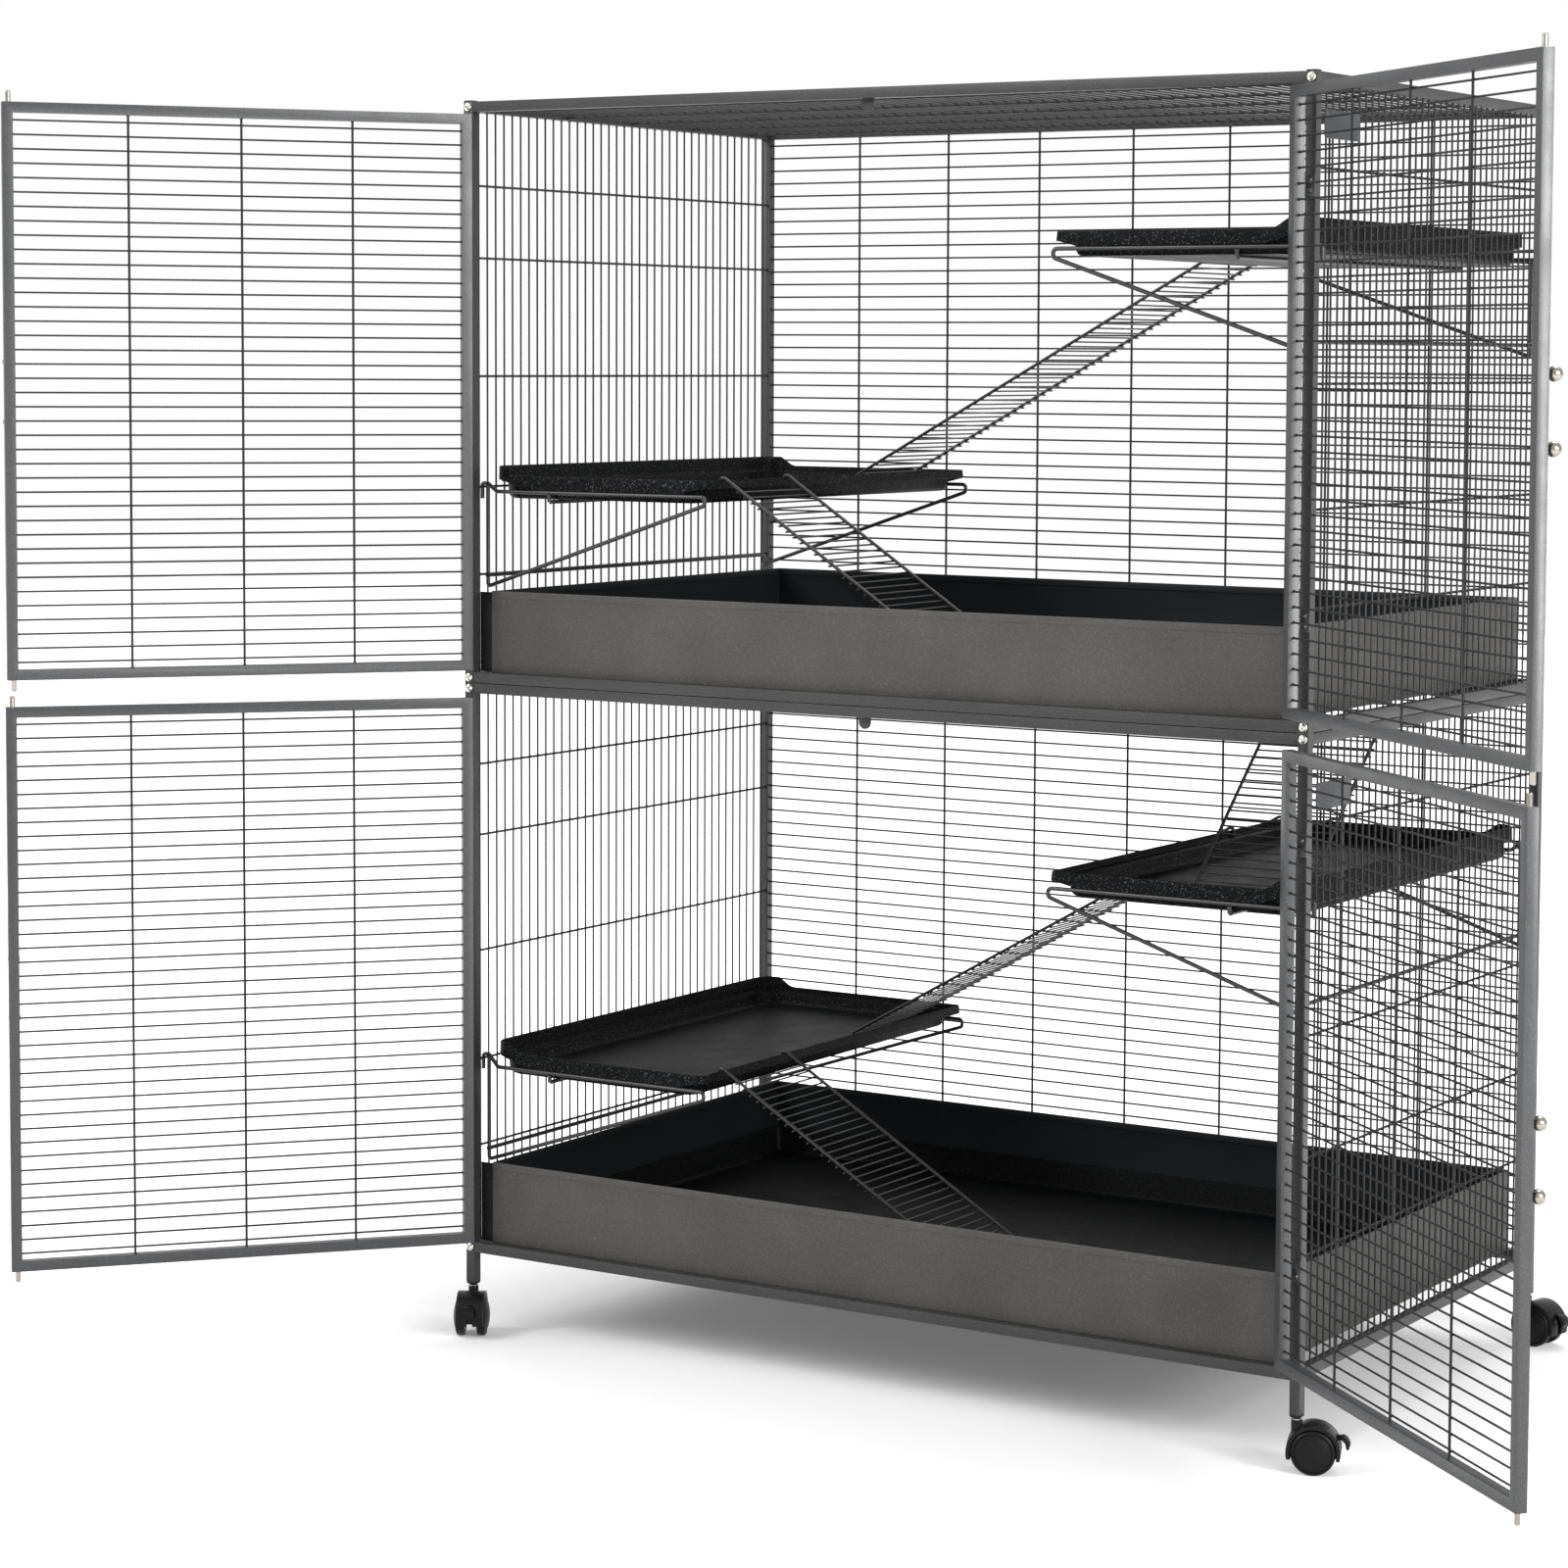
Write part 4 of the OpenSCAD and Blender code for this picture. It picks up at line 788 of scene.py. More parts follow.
def make_ladder(node, rim, rim_t, floor_z, run, place):
    """Two bent side wires that hook over a rim, with rungs welded under them. X runs downhill
    from the rim's outer face, and the line from the bend meets the floor after the run."""
    over = rim + RAIL_R + SLIDE_GAP
    tilt = math.atan2(over - floor_z, run)
    foot = floor_z + SLIDE_GAP + RAIL_R / math.cos(tilt)
    back = -rim_t - RAIL_R - SLIDE_GAP
    run = (over - foot) / math.tan(tilt)
    path = rounded([(back, 0, over - LADDER_HOOK), (back, 0, over), (SLIDE_GAP, 0, over),
                    (SLIDE_GAP + run, 0, foot)], LADDER_BEND, 6)[0]
    pile = Pile(place)
    for y in (0, LADDER_W):
        pile.skin(swept(path + [0, y, 0], circle(RAIL_R, RAIL_SIDES), (0, 1, 0)))
    drop = RAIL_R + RUNG_R + RUNG_GAP
    length = math.hypot(run, over - foot)
    n = math.floor((length - RUNG_FIRST - RUNG_PITCH) / RUNG_PITCH)
    along = RUNG_FIRST + np.arange(n + 1) * RUNG_PITCH
    x = SLIDE_GAP + along * math.cos(tilt) - drop * math.sin(tilt)
    z = over - along * math.sin(tilt) - drop * math.cos(tilt)
    ends = [np.stack([x, np.full(n + 1, y), z], -1)
            for y in (-RUNG_OVER, LADDER_W + RUNG_OVER)]
    rods(pile, ends[0], ends[1], RUNG_R, 10)
    weld_x = x + RUNG_BEAD_UP * math.sin(tilt)
    weld_z = z + RUNG_BEAD_UP * math.cos(tilt)
    # Weld beads take the painted highlight tone.
    for y in (0, LADDER_W):
        beads(pile, np.stack([weld_x, np.full(n + 1, y), weld_z], -1), RUNG_BEAD)
    piece(node + "_wires", pile, "cage", "ladder_steel", node)


FLOOR_LADDER_Y = -265 * MM
SHELF_LADDER_Y = 153 * MM
FLOOR_RUN = (401.5 * MM, 374.5 * MM)
SHELF_LANDING = (80.5 * MM, 110 * MM)
HATCH_LANDING = 83 * MM
HATCH_BACK_Y = 34 * MM
HATCH_EDGE = 15 * MM
HATCH_W = 165 * MM
HATCH_L = 190 * MM
HATCH_LIP = 12 * MM
HATCH_LIP_T = 2.4 * MM
PAN_HALF_W = IN_W - 17.5 * MM
HATCH_X = PAN_HALF_W - HATCH_EDGE - HATCH_W / 2
LINER_T = 2.5 * MM
LINER_GAP = 2 * MM
PAN_T = 1.2 * MM


def liner_floor(tier):
    """Height of a liner's floor."""
    return float(lowest("liner_" + TIERS[tier])[2]) + LINER_T


def tray_floor(node):
    """Height of a tray's floor."""
    return float(lowest(node)[2]) + TRAY_T


def make_ladders():
    """Ladders a and e down to the liners, b and d down to the lower trays, c up the hatch."""
    for name, tier, tray in (("a", 1, "tray_ul"), ("e", 0, "tray_ll")):
        make_ladder("ladder_" + name, highest(tray)[2] - SPLASH, TRAY_T, liner_floor(tier),
                    FLOOR_RUN[tier], turned(np.eye(3), (highest(tray)[0], FLOOR_LADDER_Y, 0)))
    for name, tier, tray, below in (("b", 1, "tray_ur", "tray_ul"),
                                    ("d", 0, "tray_lr", "tray_ll")):
        gap = lowest(tray)[0] - highest(below)[0]
        make_ladder("ladder_" + name, highest(tray)[2] - SPLASH, TRAY_T, tray_floor(below),
                    gap + SHELF_LANDING[tier] - SLIDE_GAP,
                    turned(about_z(180), (lowest(tray)[0], SHELF_LADDER_Y + LADDER_W, 0)))
    make_ladder("ladder_c", liner_floor(1) + HATCH_LIP, HATCH_LIP_T, tray_floor("tray_lr"),
                HATCH_BACK_Y - SLIDE_GAP - lowest("tray_lr")[1] - HATCH_LANDING,
                turned(about_z(-90), (HATCH_X - LADDER_W / 2, HATCH_BACK_Y, 0)))


# Pans and liners
HEM = 9 * MM
HEM_STEP = 0.15 * MM
FLAP_BACK = 0.8 * MM
FLAP_DROP = 1.5 * MM
FLAP_OUT = 0.7 * MM
FOOT_DROP = 2 * MM
FOOT_BACK = 0.2 * MM
FLAP_EDGE = 0.2 * MM
FLAP_CORNER = 0.5 * MM
FOLD_BEND = 0.3 * MM
STEP_BEND = 0.1 * MM
HEM_BEND = 0.9 * MM
PAN_FLOOR_BEND = 1 * MM
LIP_BEND = 0.5 * MM
FLOOR_EDGE = 30 * MM
LINER_SLOPE = 6 * MM
LINER_BEND = 6 * MM
LINER_ROLL = 1.1 * MM
LINER_LIP_BEND = 0.5 * MM
LINER_NECK = 2 * MM
LINER_NECK_BEND = 1 * MM
LINER_HOLE_BEND = 0.8 * MM
LINER_CORNER = 14 * MM
LINER_RIM = 5 * MM
PAN_CORNER = 2 * MM
HATCH_CORNER = 4 * MM
HATCH_BOX = (HATCH_X - HATCH_W / 2, HATCH_BACK_Y - HATCH_L, HATCH_X + HATCH_W / 2, HATCH_BACK_Y)


def walled(corners, low, high, corner_r):
    """Rings of a pan or liner that follow rounded (inset, height, radius, painted-shade mark)
    corners, and each ring's painted-shade mark. A corner with a fifth value lies out round the
    hatch, and not in from the outer walls."""
    path, source = rounded([c[:2] for c in corners], [c[2] for c in corners], 4)
    rings, painted_light_marks = [], []
    for (inset, z), i in zip(path, source):
        if len(corners[i]) > 4:
            x0, y0, x1, y1 = HATCH_BOX
            flat = outline((x0 - inset, y0 - inset), (x1 + inset, y1 + inset),
                           HATCH_CORNER + inset)
        else:
            flat = outline(low[:2] + inset, high[:2] - inset, max(corner_r - inset, LEAST_CORNER))
        rings.append(np.column_stack([flat, np.full(len(flat), z)]))
        painted_light_marks.append(np.full(len(flat), float(corners[i][3])))
    return np.stack(rings), np.stack(painted_light_marks)


def make_pan(tier):
    """Folded sheet pan with a hemmed rim, a flap at each end of its front, set back a little, and
    a foot behind the front rail; the upper one has a lip round the hatch. Its inside, flaps and
    foot are marked with painted shade: darker where shade falls in the pan, at its ends and in
    the slit behind the front rail."""
    node = "pan_" + TIERS[tier]
    low, high = lowest(node), highest(node)
    reach = high[0] + FLAP_OUT
    low[0], high[0] = -PAN_HALF_W, PAN_HALF_W
    z0, z1 = low[2], high[2]
    t = PAN_T
    hem = z1 - HEM
    # The fourth value marks the inside faces with painted shade.
    corners = [(FLOOR_EDGE, z0, 0, 0), (HEM_STEP, z0, FOLD_BEND, 0),
               (HEM_STEP, hem, FOLD_BEND, 0), (0, hem, STEP_BEND, 0), (0, z1, HEM_BEND, 0),
               (2 * t, z1, HEM_BEND, 1), (2 * t, hem, FOLD_BEND, 1), (t, hem, FOLD_BEND, 1),
               (t, z0 + t, PAN_FLOOR_BEND, 1), (FLOOR_EDGE, z0 + t, 0, 1)]
    if tier == 1:
        lip = liner_floor(1) + HATCH_LIP
        corners += [(FLOOR_EDGE / 3, z0 + t, 0, 1, True),
                    (HATCH_LIP_T, z0 + t, LIP_BEND, 1, True),
                    (HATCH_LIP_T, lip, PAN_FLOOR_BEND, 1, True),
                    (0, lip, PAN_FLOOR_BEND, 1, True), (0, z0, 0, 1, True)]
    pile = Pile()
    rings, painted_light_marks = walled(corners, low, high, PAN_CORNER)
    pile.skin(rings, loop=tier == 1, painted_light_mark=painted_light_marks)
    front = low[1] + FLAP_BACK
    foot = low[1] + FOOT_BACK
    inner = PAN_HALF_W - t
    # Flaps and foot: dark strips in the painted shade tone, where the pan's ends and the slit
    # behind the rail lie in shade.
    for start, end in (((-reach, front, z0 + t), (-inner, front + t, z1 - FLAP_DROP)),
                       ((inner, front, z0 + t), (reach, front + t, z1 - FLAP_DROP)),
                       ((-inner, foot, z0 - FOOT_DROP), (inner, foot + t, z0 + t / 2))):
        pile.skin(slab(start, end, FLAP_EDGE, FLAP_CORNER, 2), painted_light_mark=1)
    piece(node + "_sheet", pile, "cage", "pan_steel", node, sharp=SOFT_DEGREES)


def make_liner(tier):
    """Moulded liner: sloped walls with a rolled rim; the upper one has a hole round the hatch's
    lip."""
    node = "liner_" + TIERS[tier]
    low, high = lowest(node), highest(node)
    z0, z1 = low[2], high[2]
    t = LINER_T
    corners = [(FLOOR_EDGE, z0, 0, 0), (LINER_SLOPE, z0, LINER_BEND, 0),
               (LINER_NECK, z1 - LINER_RIM, LINER_NECK_BEND, 0),
               (0, z1 - LINER_RIM, LINER_LIP_BEND, 0), (0, z1, LINER_ROLL, 0),
               (t + LINER_NECK / 2, z1, LINER_ROLL, 0),
               (t + LINER_SLOPE, z0 + t, LINER_BEND, 0), (FLOOR_EDGE, z0 + t, 0, 0)]
    if tier == 1:
        hole = HATCH_LIP_T + LINER_GAP
        corners += [(hole + t, z0 + t, 0, 0, True), (hole, z0 + t, LINER_HOLE_BEND, 0, True),
                    (hole, z0, 0, 0, True)]
    pile = Pile()
    rings, painted_light_marks = walled(corners, low, high, LINER_CORNER)
    pile.skin(rings, loop=tier == 1, painted_light_mark=painted_light_marks)
    piece(node + "_shell", pile, "cage", "liner_plastic", node, sharp=SOFT_DEGREES)


# Frame bolts, caps and plates
HEAD_R = 5.25 * MM
HEAD_H = 3 * MM
HEAD_EDGE = 0.4 * MM
HEAD_WALL = 0.9 * MM
SHANK_R = 2.5 * MM
SHANK_L = 24 * MM
SOCKET_R = 1.9 * MM
SOCKET_DEPTH = 1.6 * MM
BOLT_SIDES = 36
BOLT_TURN = 17


def bolt_levels():
    """Heights of the frame bolts: the middle of each rail."""
    return [z for tier in (0, 1) for z in (FOOT_Z[tier] + TUBE / 2, TOP_Z[tier] - TUBE / 2)]


def bolt_rings():
    """Button head: a dome turned about Z, whose last rings close in to a hexagon socket."""
    dome = [(SHANK_R, -SHANK_L), (SHANK_R, -0.01 * MM), (HEAD_R - HEAD_EDGE, 0),
            (HEAD_R, HEAD_EDGE), (HEAD_R, HEAD_WALL)]
    tilt = np.radians(np.linspace(12, 68, 7))
    dome += [(HEAD_R * math.cos(a), HEAD_WALL + (HEAD_H - HEAD_WALL) * math.sin(a))
             for a in tilt]
    rings = lathe(dome, BOLT_SIDES)
    angle = (np.arange(BOLT_SIDES) + 0.5) * 2 * np.pi / BOLT_SIDES
    fold = np.abs((angle + np.pi / 6) % (np.pi / 3) - np.pi / 6)
    reach = SOCKET_R * math.cos(math.pi / 6) / np.cos(fold)
    socket = [np.stack([reach * grow * np.cos(angle), reach * grow * np.sin(angle),
                        np.full(BOLT_SIDES, z)], -1)
              for grow, z in ((1.06, HEAD_H * 0.985), (1, HEAD_H * 0.95),
                              (1, HEAD_H - SOCKET_DEPTH), (0.25, HEAD_H - SOCKET_DEPTH))]
    return np.concatenate([rings, np.stack(socket)])


def make_frame_bolts():
    """Bolt heads on the front and the back of the posts."""
    pile = Pile()
    rings = bolt_rings()
    for x in (-HALF_W + TUBE / 2, HALF_W - TUBE / 2):
        for back in (-1, 1):
            place = turned(about_x(back * -90) @ about_z(BOLT_TURN), (x, back * HALF_D, 0))
            for z in bolt_levels():
                pile.skin(place(rings) + [0, 0, z])
    piece("frame_bolt_heads", pile, "cage", "bolt_nickel", "frame_bolts")


CAP_LIP = 0.3 * MM
CAP_T = 1.6 * MM
CAP_EDGE = 0.8 * MM
CAP_CORNER = 1.8 * MM
FOOT_CAP_CORNER = 1.6 * MM
FOOT_CAP_INSETS = np.array([2.4, 2.0, 0.2, 0, 0, 0.3]) * MM
FOOT_CAP_DROPS = np.array([4, 3.8, 2.2, 1.9, 0.3, 0]) * MM


def make_caps():
    """Top caps with a rounded edge and chamfered foot caps under the posts."""
    pile = Pile()
    half = TUBE / 2 + CAP_LIP
    foot_z = float(lowest("post_fl")[2])
    for x in (-HALF_W + TUBE / 2, HALF_W - TUBE / 2):
        for y in (-HALF_D + TUBE / 2, HALF_D - TUBE / 2):
            low = np.array([x - half, y - half, TOP_Z[1]])
            high = np.array([x + half, y + half, TOP_Z[1] + CAP_T])
            pile.skin(slab(low, high, CAP_EDGE, CAP_CORNER))
            pile.skin(stacked(low, high, FOOT_CAP_CORNER, FOOT_CAP_INSETS,
                              foot_z - FOOT_CAP_DROPS))
    piece("post_end_caps", pile, "cage", "cap_plastic", "post_caps")


PLATE_EDGE = 0.5 * MM
PLATE_CORNER = 4 * MM
TIE_IN = 5 * MM
TIE_SIZE = np.array([0.5, 1.3, 2.2]) * MM


def make_plates():
    """Bare plates with round corners, tied to the mesh wires at their corners."""
    node = frame["nodes"]["side_plates"]
    spots = np.array([v.co for v in node.data.vertices])
    pile = Pile()
    split = (FOOT_Z[1] + TOP_Z[0]) / 2
    for part in (spots[spots[:, 2] < split], spots[spots[:, 2] > split]):
        low, high = part.min(0), part.max(0)
        place = turned([[0, 0, -1], [1, 0, 0], [0, 1, 0]], (high[0], 0, 0))
        depth = high[0] - low[0]
        plate = slab((low[1], low[2], 0), (high[1], high[2], depth), PLATE_EDGE, PLATE_CORNER)
        pile.skin(place(plate))
        ties = [(high[0], y, z) for y in (low[1] + TIE_IN, high[1] - TIE_IN)
                for z in (low[2] + TIE_IN, high[2] - TIE_IN)]
        # Tie beads take the plate's painted highlight tone.
        beads(pile, ties, TIE_SIZE)
    piece("bare_plates", pile, "cage", "plate_steel", "side_plates")


# Hinges
HINGE_FROM_END = 122 * MM
LEAF_T = 1.4 * MM
SCREW_GAP = 11 * MM
SCREW_R = 2.6 * MM
SCREW_EDGE = 0.45 * MM
SCREW_H = 1 * MM
SCREW_SIDES = 20
LEAF_EDGE = 0.35 * MM


def make_hinges():
    """Hinge leaves in the doors' coat, and bright domed heads over the heads of their screws:
    a quarter ellipse turned about the screw's middle, on a short straight edge."""
    eased("hinge_leaves_eased", "hinge_leaves", "cage", "door_steel", LEAF_EDGE, 2)
    tilt = np.radians(np.linspace(0, 86, 7))
    dome = [(SCREW_R, 0)]
    dome += [(SCREW_R * math.cos(a), SCREW_EDGE + (SCREW_H - SCREW_EDGE) * math.sin(a))
             for a in tilt]
    rings = lathe(dome, SCREW_SIDES)
    pile = Pile()
    for x in (-IN_W - TUBE / 2, IN_W + TUBE / 2):
        head = turned(about_x(90), (x, -HALF_D - LEAF_T, 0))(rings)
        for tier in (0, 1):
            for level in (FOOT_Z[tier] + HINGE_FROM_END, TOP_Z[tier] - HINGE_FROM_END):
                for z in (level - SCREW_GAP / 2, level + SCREW_GAP / 2):
                    pile.skin(head + [0, 0, z])
    piece("hinge_screws", pile, "cage", "bolt_nickel", "hinge_leaves")


# Doors
DOOR_SIDE_GAP = 0.9 * MM
DOOR_MID_GAP = 0.6 * MM
DOOR_END_GAP = 3.9 * MM
HINGE_OUT = 4.6 * MM
DOOR_W = IN_W - DOOR_SIDE_GAP - DOOR_MID_GAP
DOOR_CROSSES = 3
DOOR_EDGE = 0.9 * TUBE_EDGE
HEAVY_D = 2.2 * CROSS_R


def door_height(tier):
    """Height of a tier's doors."""
    return TOP_Z[tier] - FOOT_Z[tier] - 2 * TUBE - 2 * DOOR_END_GAP


def door_place(name, side):
    """Turns a door's own frame to its place: X to the free edge, Y to the inside, from the
    hinge axis at the door's middle height."""
    joint = JOINTS["hinge_" + name]
    closed = max(abs(a) for a in joint["range_deg"])
    sign = SIDES[side]
    matrix = np.diag([-sign, 1, 1]) @ about_z(-closed)
    return matrix, np.array(joint["pos_m"])


def make_door(name, side, tier):
    """A welded door: tube frame, wires that end on the tubes' inner faces, and crossings."""
    node, body = "door_" + name, "door_" + name
    matrix, at = door_place(name, side)

    def is_heavy(points):
        """Whether a solid is thicker than a wire, by its box in the door's own frame."""
        size = np.ptp((points - at) @ matrix, axis=0)
        return np.sort(size)[1] > HEAVY_D

    eased(node + "_tubes", node, body, "door_steel", DOOR_EDGE, keep=is_heavy)
    pile = Pile(turned(matrix, at))
    x0 = DOOR_SIDE_GAP + TUBE
    x1 = DOOR_SIDE_GAP + DOOR_W - TUBE
    z1 = door_height(tier) / 2 - TUBE
    y = HINGE_OUT + TUBE / 2
    crosses = x0 + np.arange(1, DOOR_CROSSES + 1) / (DOOR_CROSSES + 1) * (x1 - x0)
    grid_wires(pile, crosses, spread(-z1, z1, MESH_PITCH), (x0, x1), (-z1, z1), y,
               y + CROSS_OFF, [[1, 0, 0], [0, 0, 1], [0, 1, 0]])
    piece(node + "_wires", pile, body, "mesh_steel", node)


ROD_R = 3 * MM
ROD_OUT = 13.5 * MM
ROD_SHIFT = 1.4 * MM
KNOB_Z = 35.5 * MM
KNOB_R = 7.75 * MM
NECK_R = 2.3 * MM
KNOB_OUT = 10 * MM
ROD_TAIL = 12 * MM
ROD_NOSE = 1.4 * MM
ROD_CHAMFER = 0.6 * MM
ROD_SIDES = 20
NECK_FLARE = 1.28
NECK_FROM = 7.1 * MM
NECK_TO = 8 * MM
KNOB_SIDES = 28


def make_rod(name, side, tier, end):
    """Bolt rod with a domed tip, and its knob: a ball turned on a flared neck."""
    body = f"rod_{name}_{end}"
    matrix, at = door_place(name, side)
    up = 1 if end == "top" else -1
    x = DOOR_SIDE_GAP + DOOR_W - TUBE / 2 - ROD_SHIFT
    y = HINGE_OUT + TUBE / 2
    tail, tip = KNOB_Z - ROD_TAIL, door_height(tier) / 2 + ROD_OUT
    pile = Pile(turned(matrix @ np.diag([1, 1, up]), at))
    a = np.radians(np.linspace(0, 80, 6))
    ends = [(ROD_R - ROD_CHAMFER, tail), (ROD_R, tail + ROD_CHAMFER)]
    nose = [(ROD_R - ROD_NOSE * (1 - math.cos(t)), tip - ROD_NOSE * (1 - math.sin(t)))
            for t in a]
    pile.skin(lathe(ends + nose, ROD_SIDES) + [x, y, 0])
    ball_y = HINGE_OUT - KNOB_OUT
    b = np.radians(np.linspace(-85, 62, 16))
    ball = [(KNOB_R * math.cos(t), KNOB_R * math.sin(t)) for t in b]
    neck = [(NECK_R * NECK_FLARE, NECK_FROM), (NECK_R, NECK_TO), (NECK_R, y - ball_y)]
    pile.skin(turned(about_x(-90), (x, ball_y, KNOB_Z))(lathe(ball + neck, KNOB_SIDES)))
    piece(body + "_turned", pile, body, "rod_nickel", body)


# Casters
WHEEL_R = 25 * MM
TREAD_W = 10.5 * MM
WHEEL_GAP = 16 * MM
COVER_BULGE = 4 * MM
AXLE_R = 2.5 * MM
AXLE_IN = 1 * MM
AXLE_SIDES = 20
HUB_R = 3 * MM
WHEEL_SIDES = 48
COVER_R = WHEEL_R - 5 * MM
COVER_STEP = 0.1 * MM
COVER_HOLE = 0.5 * MM
COLLAR_R = 5.2 * MM
COLLAR_H = 1.4 * MM
COLLAR_HOLE = 3.6 * MM
COLLAR_EDGE = 0.3 * MM
NECK_GAP = 0.5 * MM
HOOD_EDGE = 1.1 * MM
BRAKE_EDGE = 0.3 * MM


def wheel_profile():
    """Half section of a wheel from its inner hub out over the tread, whose edges are eased, into
    a groove round the cover, and in over the cover, whose bulge is a parabola."""
    tread = np.array([(0, 0), (-1.2, 0), (-0.3, 0.4), (0, 1.4)]) * MM + [WHEEL_R, 0]
    tread[0, 0] = HUB_R
    groove = np.array([(0, -2.6), (-0.5, -1.2), (-1.8, -0.3), (-3, 0), (-3.6, -0.9),
                       (-4.4, -0.9), (-5, 0.1)]) * MM + [WHEEL_R, TREAD_W]
    t = np.linspace(0.25, 1, 9)
    cover = np.stack([COVER_R * (1 - t) + COVER_HOLE, TREAD_W + COVER_STEP
                      + (COVER_BULGE - COVER_STEP) * (1 - (1 - t) ** 2)], -1)
    return np.concatenate([tread, groove, cover])


def make_caster(corner):
    """A twin-wheel caster: hood and brake with rounded edges, and turned wheels."""
    hood, brake = "hood_" + corner, "brake_" + corner
    eased(hood + "_shell", hood, hood, "hood_plastic", HOOD_EDGE)
    eased(brake + "_lever", brake, brake, "hood_plastic", BRAKE_EDGE, 2)
    stem = JOINTS["swivel_" + corner]["pos_m"]
    top = float(lowest("post_caps")[2]) - NECK_GAP
    collar = Pile(turned(np.eye(3), (stem[0], stem[1], top)))
    collar.skin(lathe([(COLLAR_HOLE, -COLLAR_H), (COLLAR_R - COLLAR_EDGE, -COLLAR_H),
                       (COLLAR_R, COLLAR_EDGE - COLLAR_H), (COLLAR_R, -COLLAR_EDGE),
                       (COLLAR_R - COLLAR_EDGE, 0), (COLLAR_HOLE, 0)]), loop=True)
    piece(f"collar_{corner}_ring", collar, hood, "bolt_nickel")
    joint = JOINTS["spin_" + corner]
    axle = unit(joint["axis"])
    pile = Pile()
    side = unit(np.cross([0, 0, 1], axle))
    for sign in (-1, 1):
        matrix = np.stack([side, np.cross(sign * axle, side), sign * axle], 1)
        wheel = lathe(wheel_profile(), WHEEL_SIDES) + [0, 0, WHEEL_GAP / 2]
        pile.skin(turned(matrix, joint["pos_m"])(wheel))
    ends = np.array(joint["pos_m"]) + np.outer([-1, 1], axle) * (WHEEL_GAP / 2 + AXLE_IN)
    rods(pile, ends[0], ends[1], AXLE_R, AXLE_SIDES)
    piece(f"wheels_{corner}_turned", pile, "wheels_" + corner, "wheel_plastic",
          "wheels_" + corner)


make_frame()
make_mesh_panels()
for name, side, tier in (("ll", "l", 0), ("lr", "r", 0), ("ul", "l", 1), ("ur", "r", 1)):
    make_tray("tray_" + name, side)
    make_support("support_" + name, side, "tray_" + name, tier)
    make_door(name, side, tier)
    for end in ("top", "bottom"):
        make_rod(name, side, tier, end)
make_ladders()
for tier in (0, 1):
    make_pan(tier)
    make_liner(tier)
make_frame_bolts()
make_caps()
make_plates()
make_hinges()
for corner in CORNERS:
    make_caster(corner)


# Stage
def camera_node(tree):
    """Is one for camera, glossy and transmission rays, and else zero."""
    path = add(tree, "ShaderNodeLightPath")
    first = add(tree, "ShaderNodeMath", {0: path.outputs["Is Camera Ray"],
                                         1: path.outputs["Is Glossy Ray"]}, operation="MAXIMUM")
    return add(tree, "ShaderNodeMath", {0: first.outputs[0],
                                        1: path.outputs["Is Transmission Ray"]},
               operation="MAXIMUM").outputs[0]


FLOOR_HALF = 12.0
FLOOR_FADE = 2.2
FLOOR_GLOW = 0.12
FLOOR_PAPER = (0.8, 0.8, 0.8, 1)
WHITE = (1, 1, 1, 1)
SKY_LIGHT = 0.56
MIDDLE = (0, 0, 0.8)
UR_DOOR_END = (0.98, -0.69, 1.3)
LAMPS = {
    "key": {"at": (-3.4, -4.2, 4.2), "aim": MIDDLE, "size": 3.0, "power": 300},
    "fill": {"at": (4.5, -2.5, 2.5), "aim": MIDDLE, "size": 3.0, "power": 120},
    "top": {"at": (0.5, 1.5, 5.0), "aim": MIDDLE, "size": 3.0, "power": 120},
    "side": {"at": (4.4, -1.36, 1.85), "aim": UR_DOOR_END, "size": 1.1, "power": 110},
}


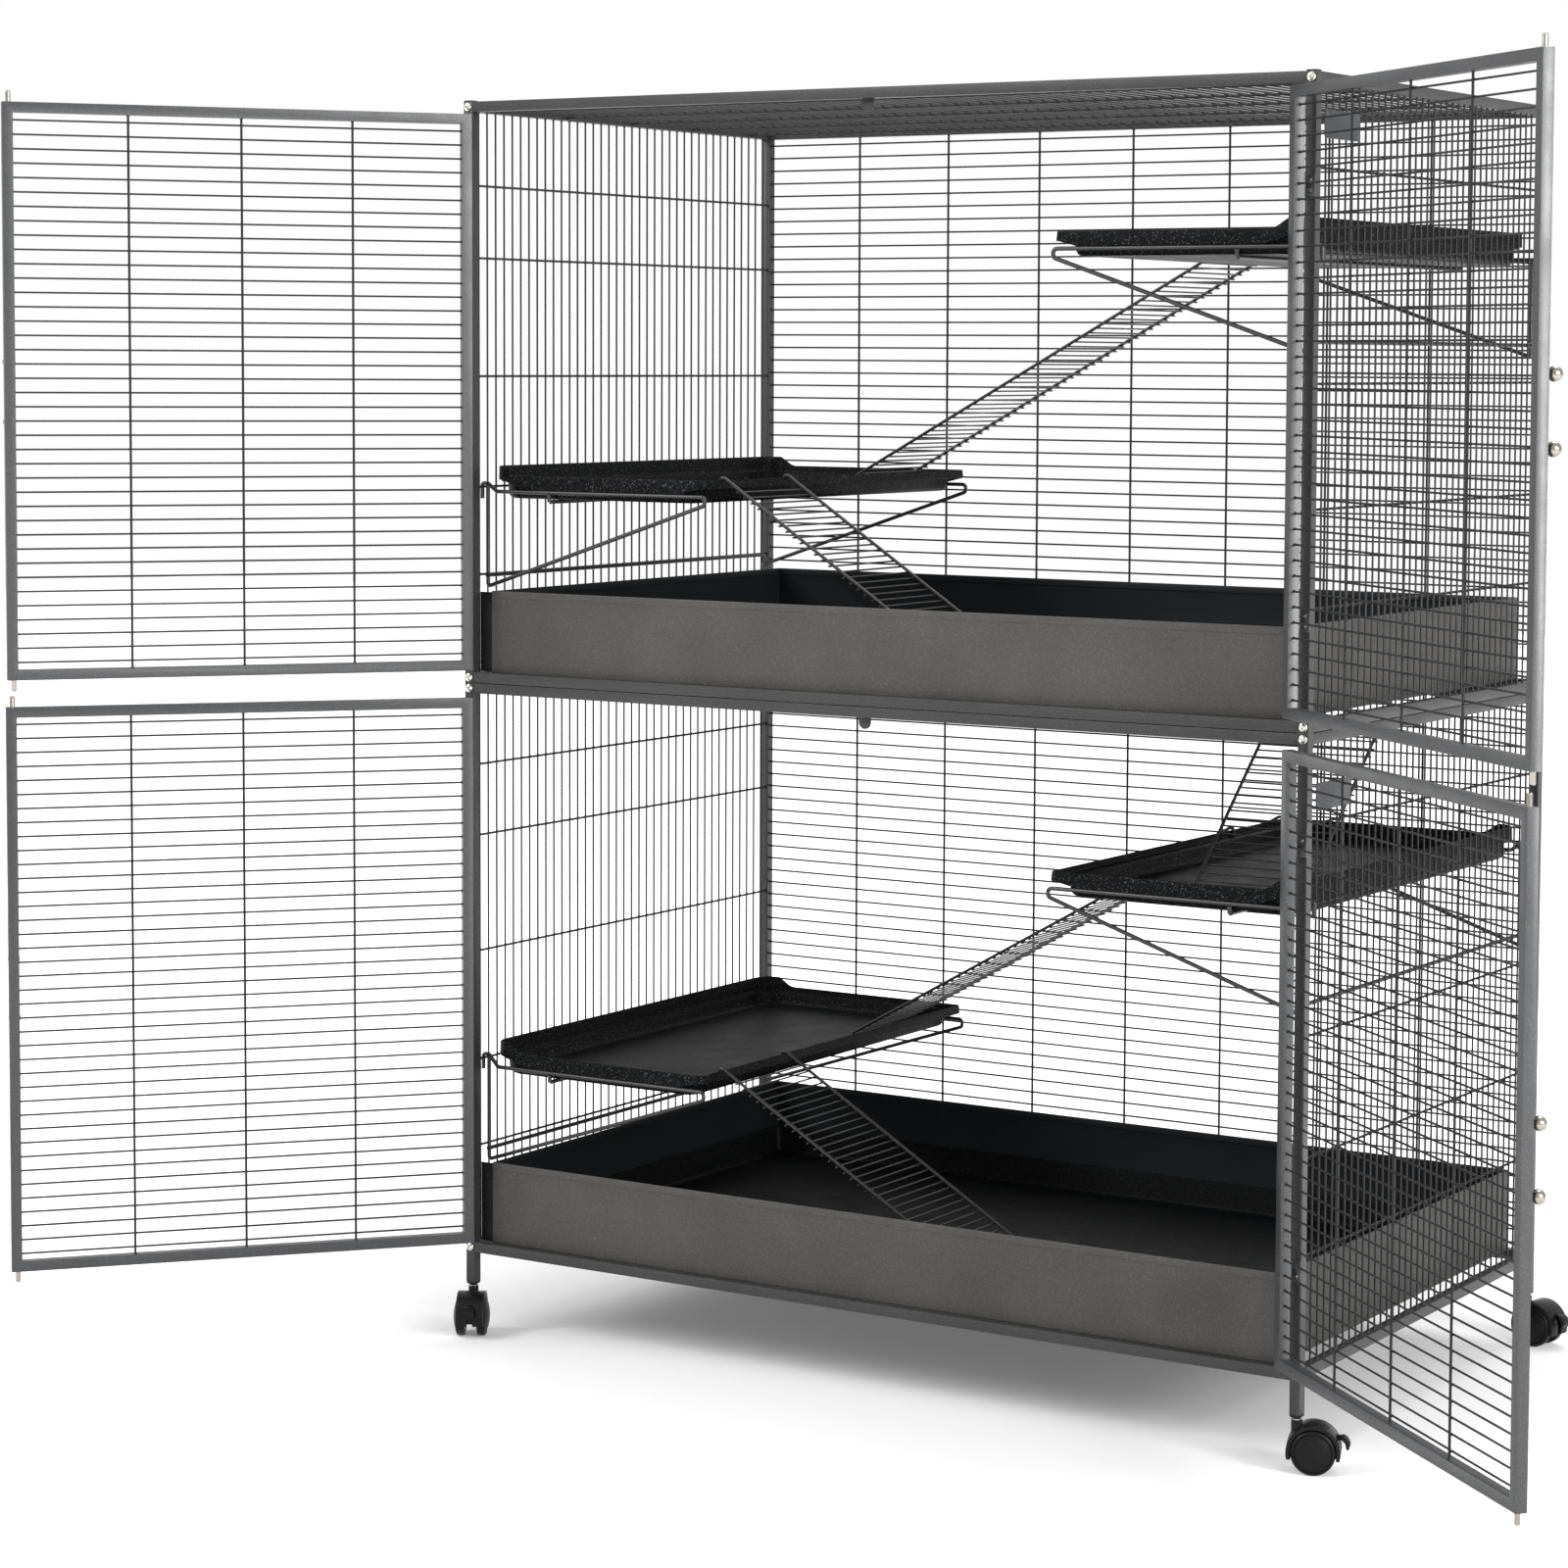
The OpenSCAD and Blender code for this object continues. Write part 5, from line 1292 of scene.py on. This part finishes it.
def make_stage():
    """A pale floor that keeps the shadow, and a white surround. Away from the cage the floor
    glows to white for the camera, and it gives no light to the cage by that."""
    mesh = bpy.data.meshes.new("floor")
    h = FLOOR_HALF
    mesh.from_pydata([(-h, -h, 0), (h, -h, 0), (h, h, 0), (-h, h, 0)], [], [(0, 1, 2, 3)])
    floor = linked("floor", mesh)
    material = bpy.data.materials.new("floor_paper")
    material.use_nodes = True
    tree = material.node_tree
    tree.nodes.remove(tree.nodes["Principled BSDF"])
    place = add(tree, "ShaderNodeTexCoord").outputs["Object"]
    away = add(tree, "ShaderNodeVectorMath", {0: place}, operation="LENGTH").outputs["Value"]
    white = add(tree, "ShaderNodeMapRange",
                {"Value": away, "From Min": HALF_W, "From Max": FLOOR_FADE,
                 "To Min": FLOOR_GLOW, "To Max": 1.0}).outputs["Result"]
    strength = add(tree, "ShaderNodeMath", {0: white, 1: camera_node(tree)}, operation="MULTIPLY")
    glow = add(tree, "ShaderNodeEmission", {"Strength": strength.outputs[0]})
    paper = add(tree, "ShaderNodeBsdfDiffuse", {"Color": FLOOR_PAPER})
    both = add(tree, "ShaderNodeAddShader", {0: paper.outputs[0], 1: glow.outputs[0]})
    tree.links.new(both.outputs[0], tree.nodes["Material Output"].inputs["Surface"])
    mesh.materials.append(material)

    world = bpy.data.worlds.new("studio")
    world.use_nodes = True
    bpy.context.scene.world = world
    tree = world.node_tree
    seen = camera_node(tree)
    strength = add(tree, "ShaderNodeMapRange", {"Value": seen, "To Min": SKY_LIGHT, "To Max": 1.0})
    tree.links.new(strength.outputs["Result"], tree.nodes["Background"].inputs["Strength"])
    tree.nodes["Background"].inputs["Color"].default_value = WHITE


def posed(axes, at):
    """Matrix of an object from its three axes and its place."""
    pose = np.eye(4)
    pose[:3, :3] = np.stack(axes, 1)
    pose[:3, 3] = at
    return Matrix(pose.tolist())


def make_lamp(name, at, aim, size, power):
    """Square soft light that faces its aim."""
    data = bpy.data.lights.new(name, "AREA")
    data.shape = "SQUARE"
    data.size = size
    data.energy = power
    z = unit(np.subtract(at, aim))
    x = unit(np.cross([0, 0, 1], z))
    linked(name, data).matrix_world = posed((x, np.cross(z, x), z), at)


def make_camera():
    """Camera of the photographed view, from its yaw, pitch and roll."""
    yaw, pitch, roll = CAMERA_YAW, CAMERA_PITCH, CAMERA_ROLL
    ahead = np.array([-math.sin(yaw) * math.cos(pitch), math.cos(yaw) * math.cos(pitch),
                      math.sin(pitch)])
    right = np.array([math.cos(yaw), math.sin(yaw), 0])
    up = np.cross(right, ahead)
    rolled_right = math.cos(roll) * right + math.sin(roll) * up
    rolled_up = math.cos(roll) * up - math.sin(roll) * right
    data = bpy.data.cameras.new("camera")
    data.sensor_width = SENSOR_MM
    data.lens = FOCAL_PX * SENSOR_MM / IMAGE_PX
    data.shift_x = 0.5 - CENTRE_PX[0] / IMAGE_PX
    data.shift_y = CENTRE_PX[1] / IMAGE_PX - 0.5
    camera = linked("camera", data)
    camera.matrix_world = posed((rolled_right, rolled_up, -ahead), CAMERA_AT)
    bpy.context.scene.camera = camera


make_stage()
for name, lamp in LAMPS.items():
    make_lamp(name, **lamp)
make_camera()
bpy.context.scene.view_settings.view_transform = "Standard"
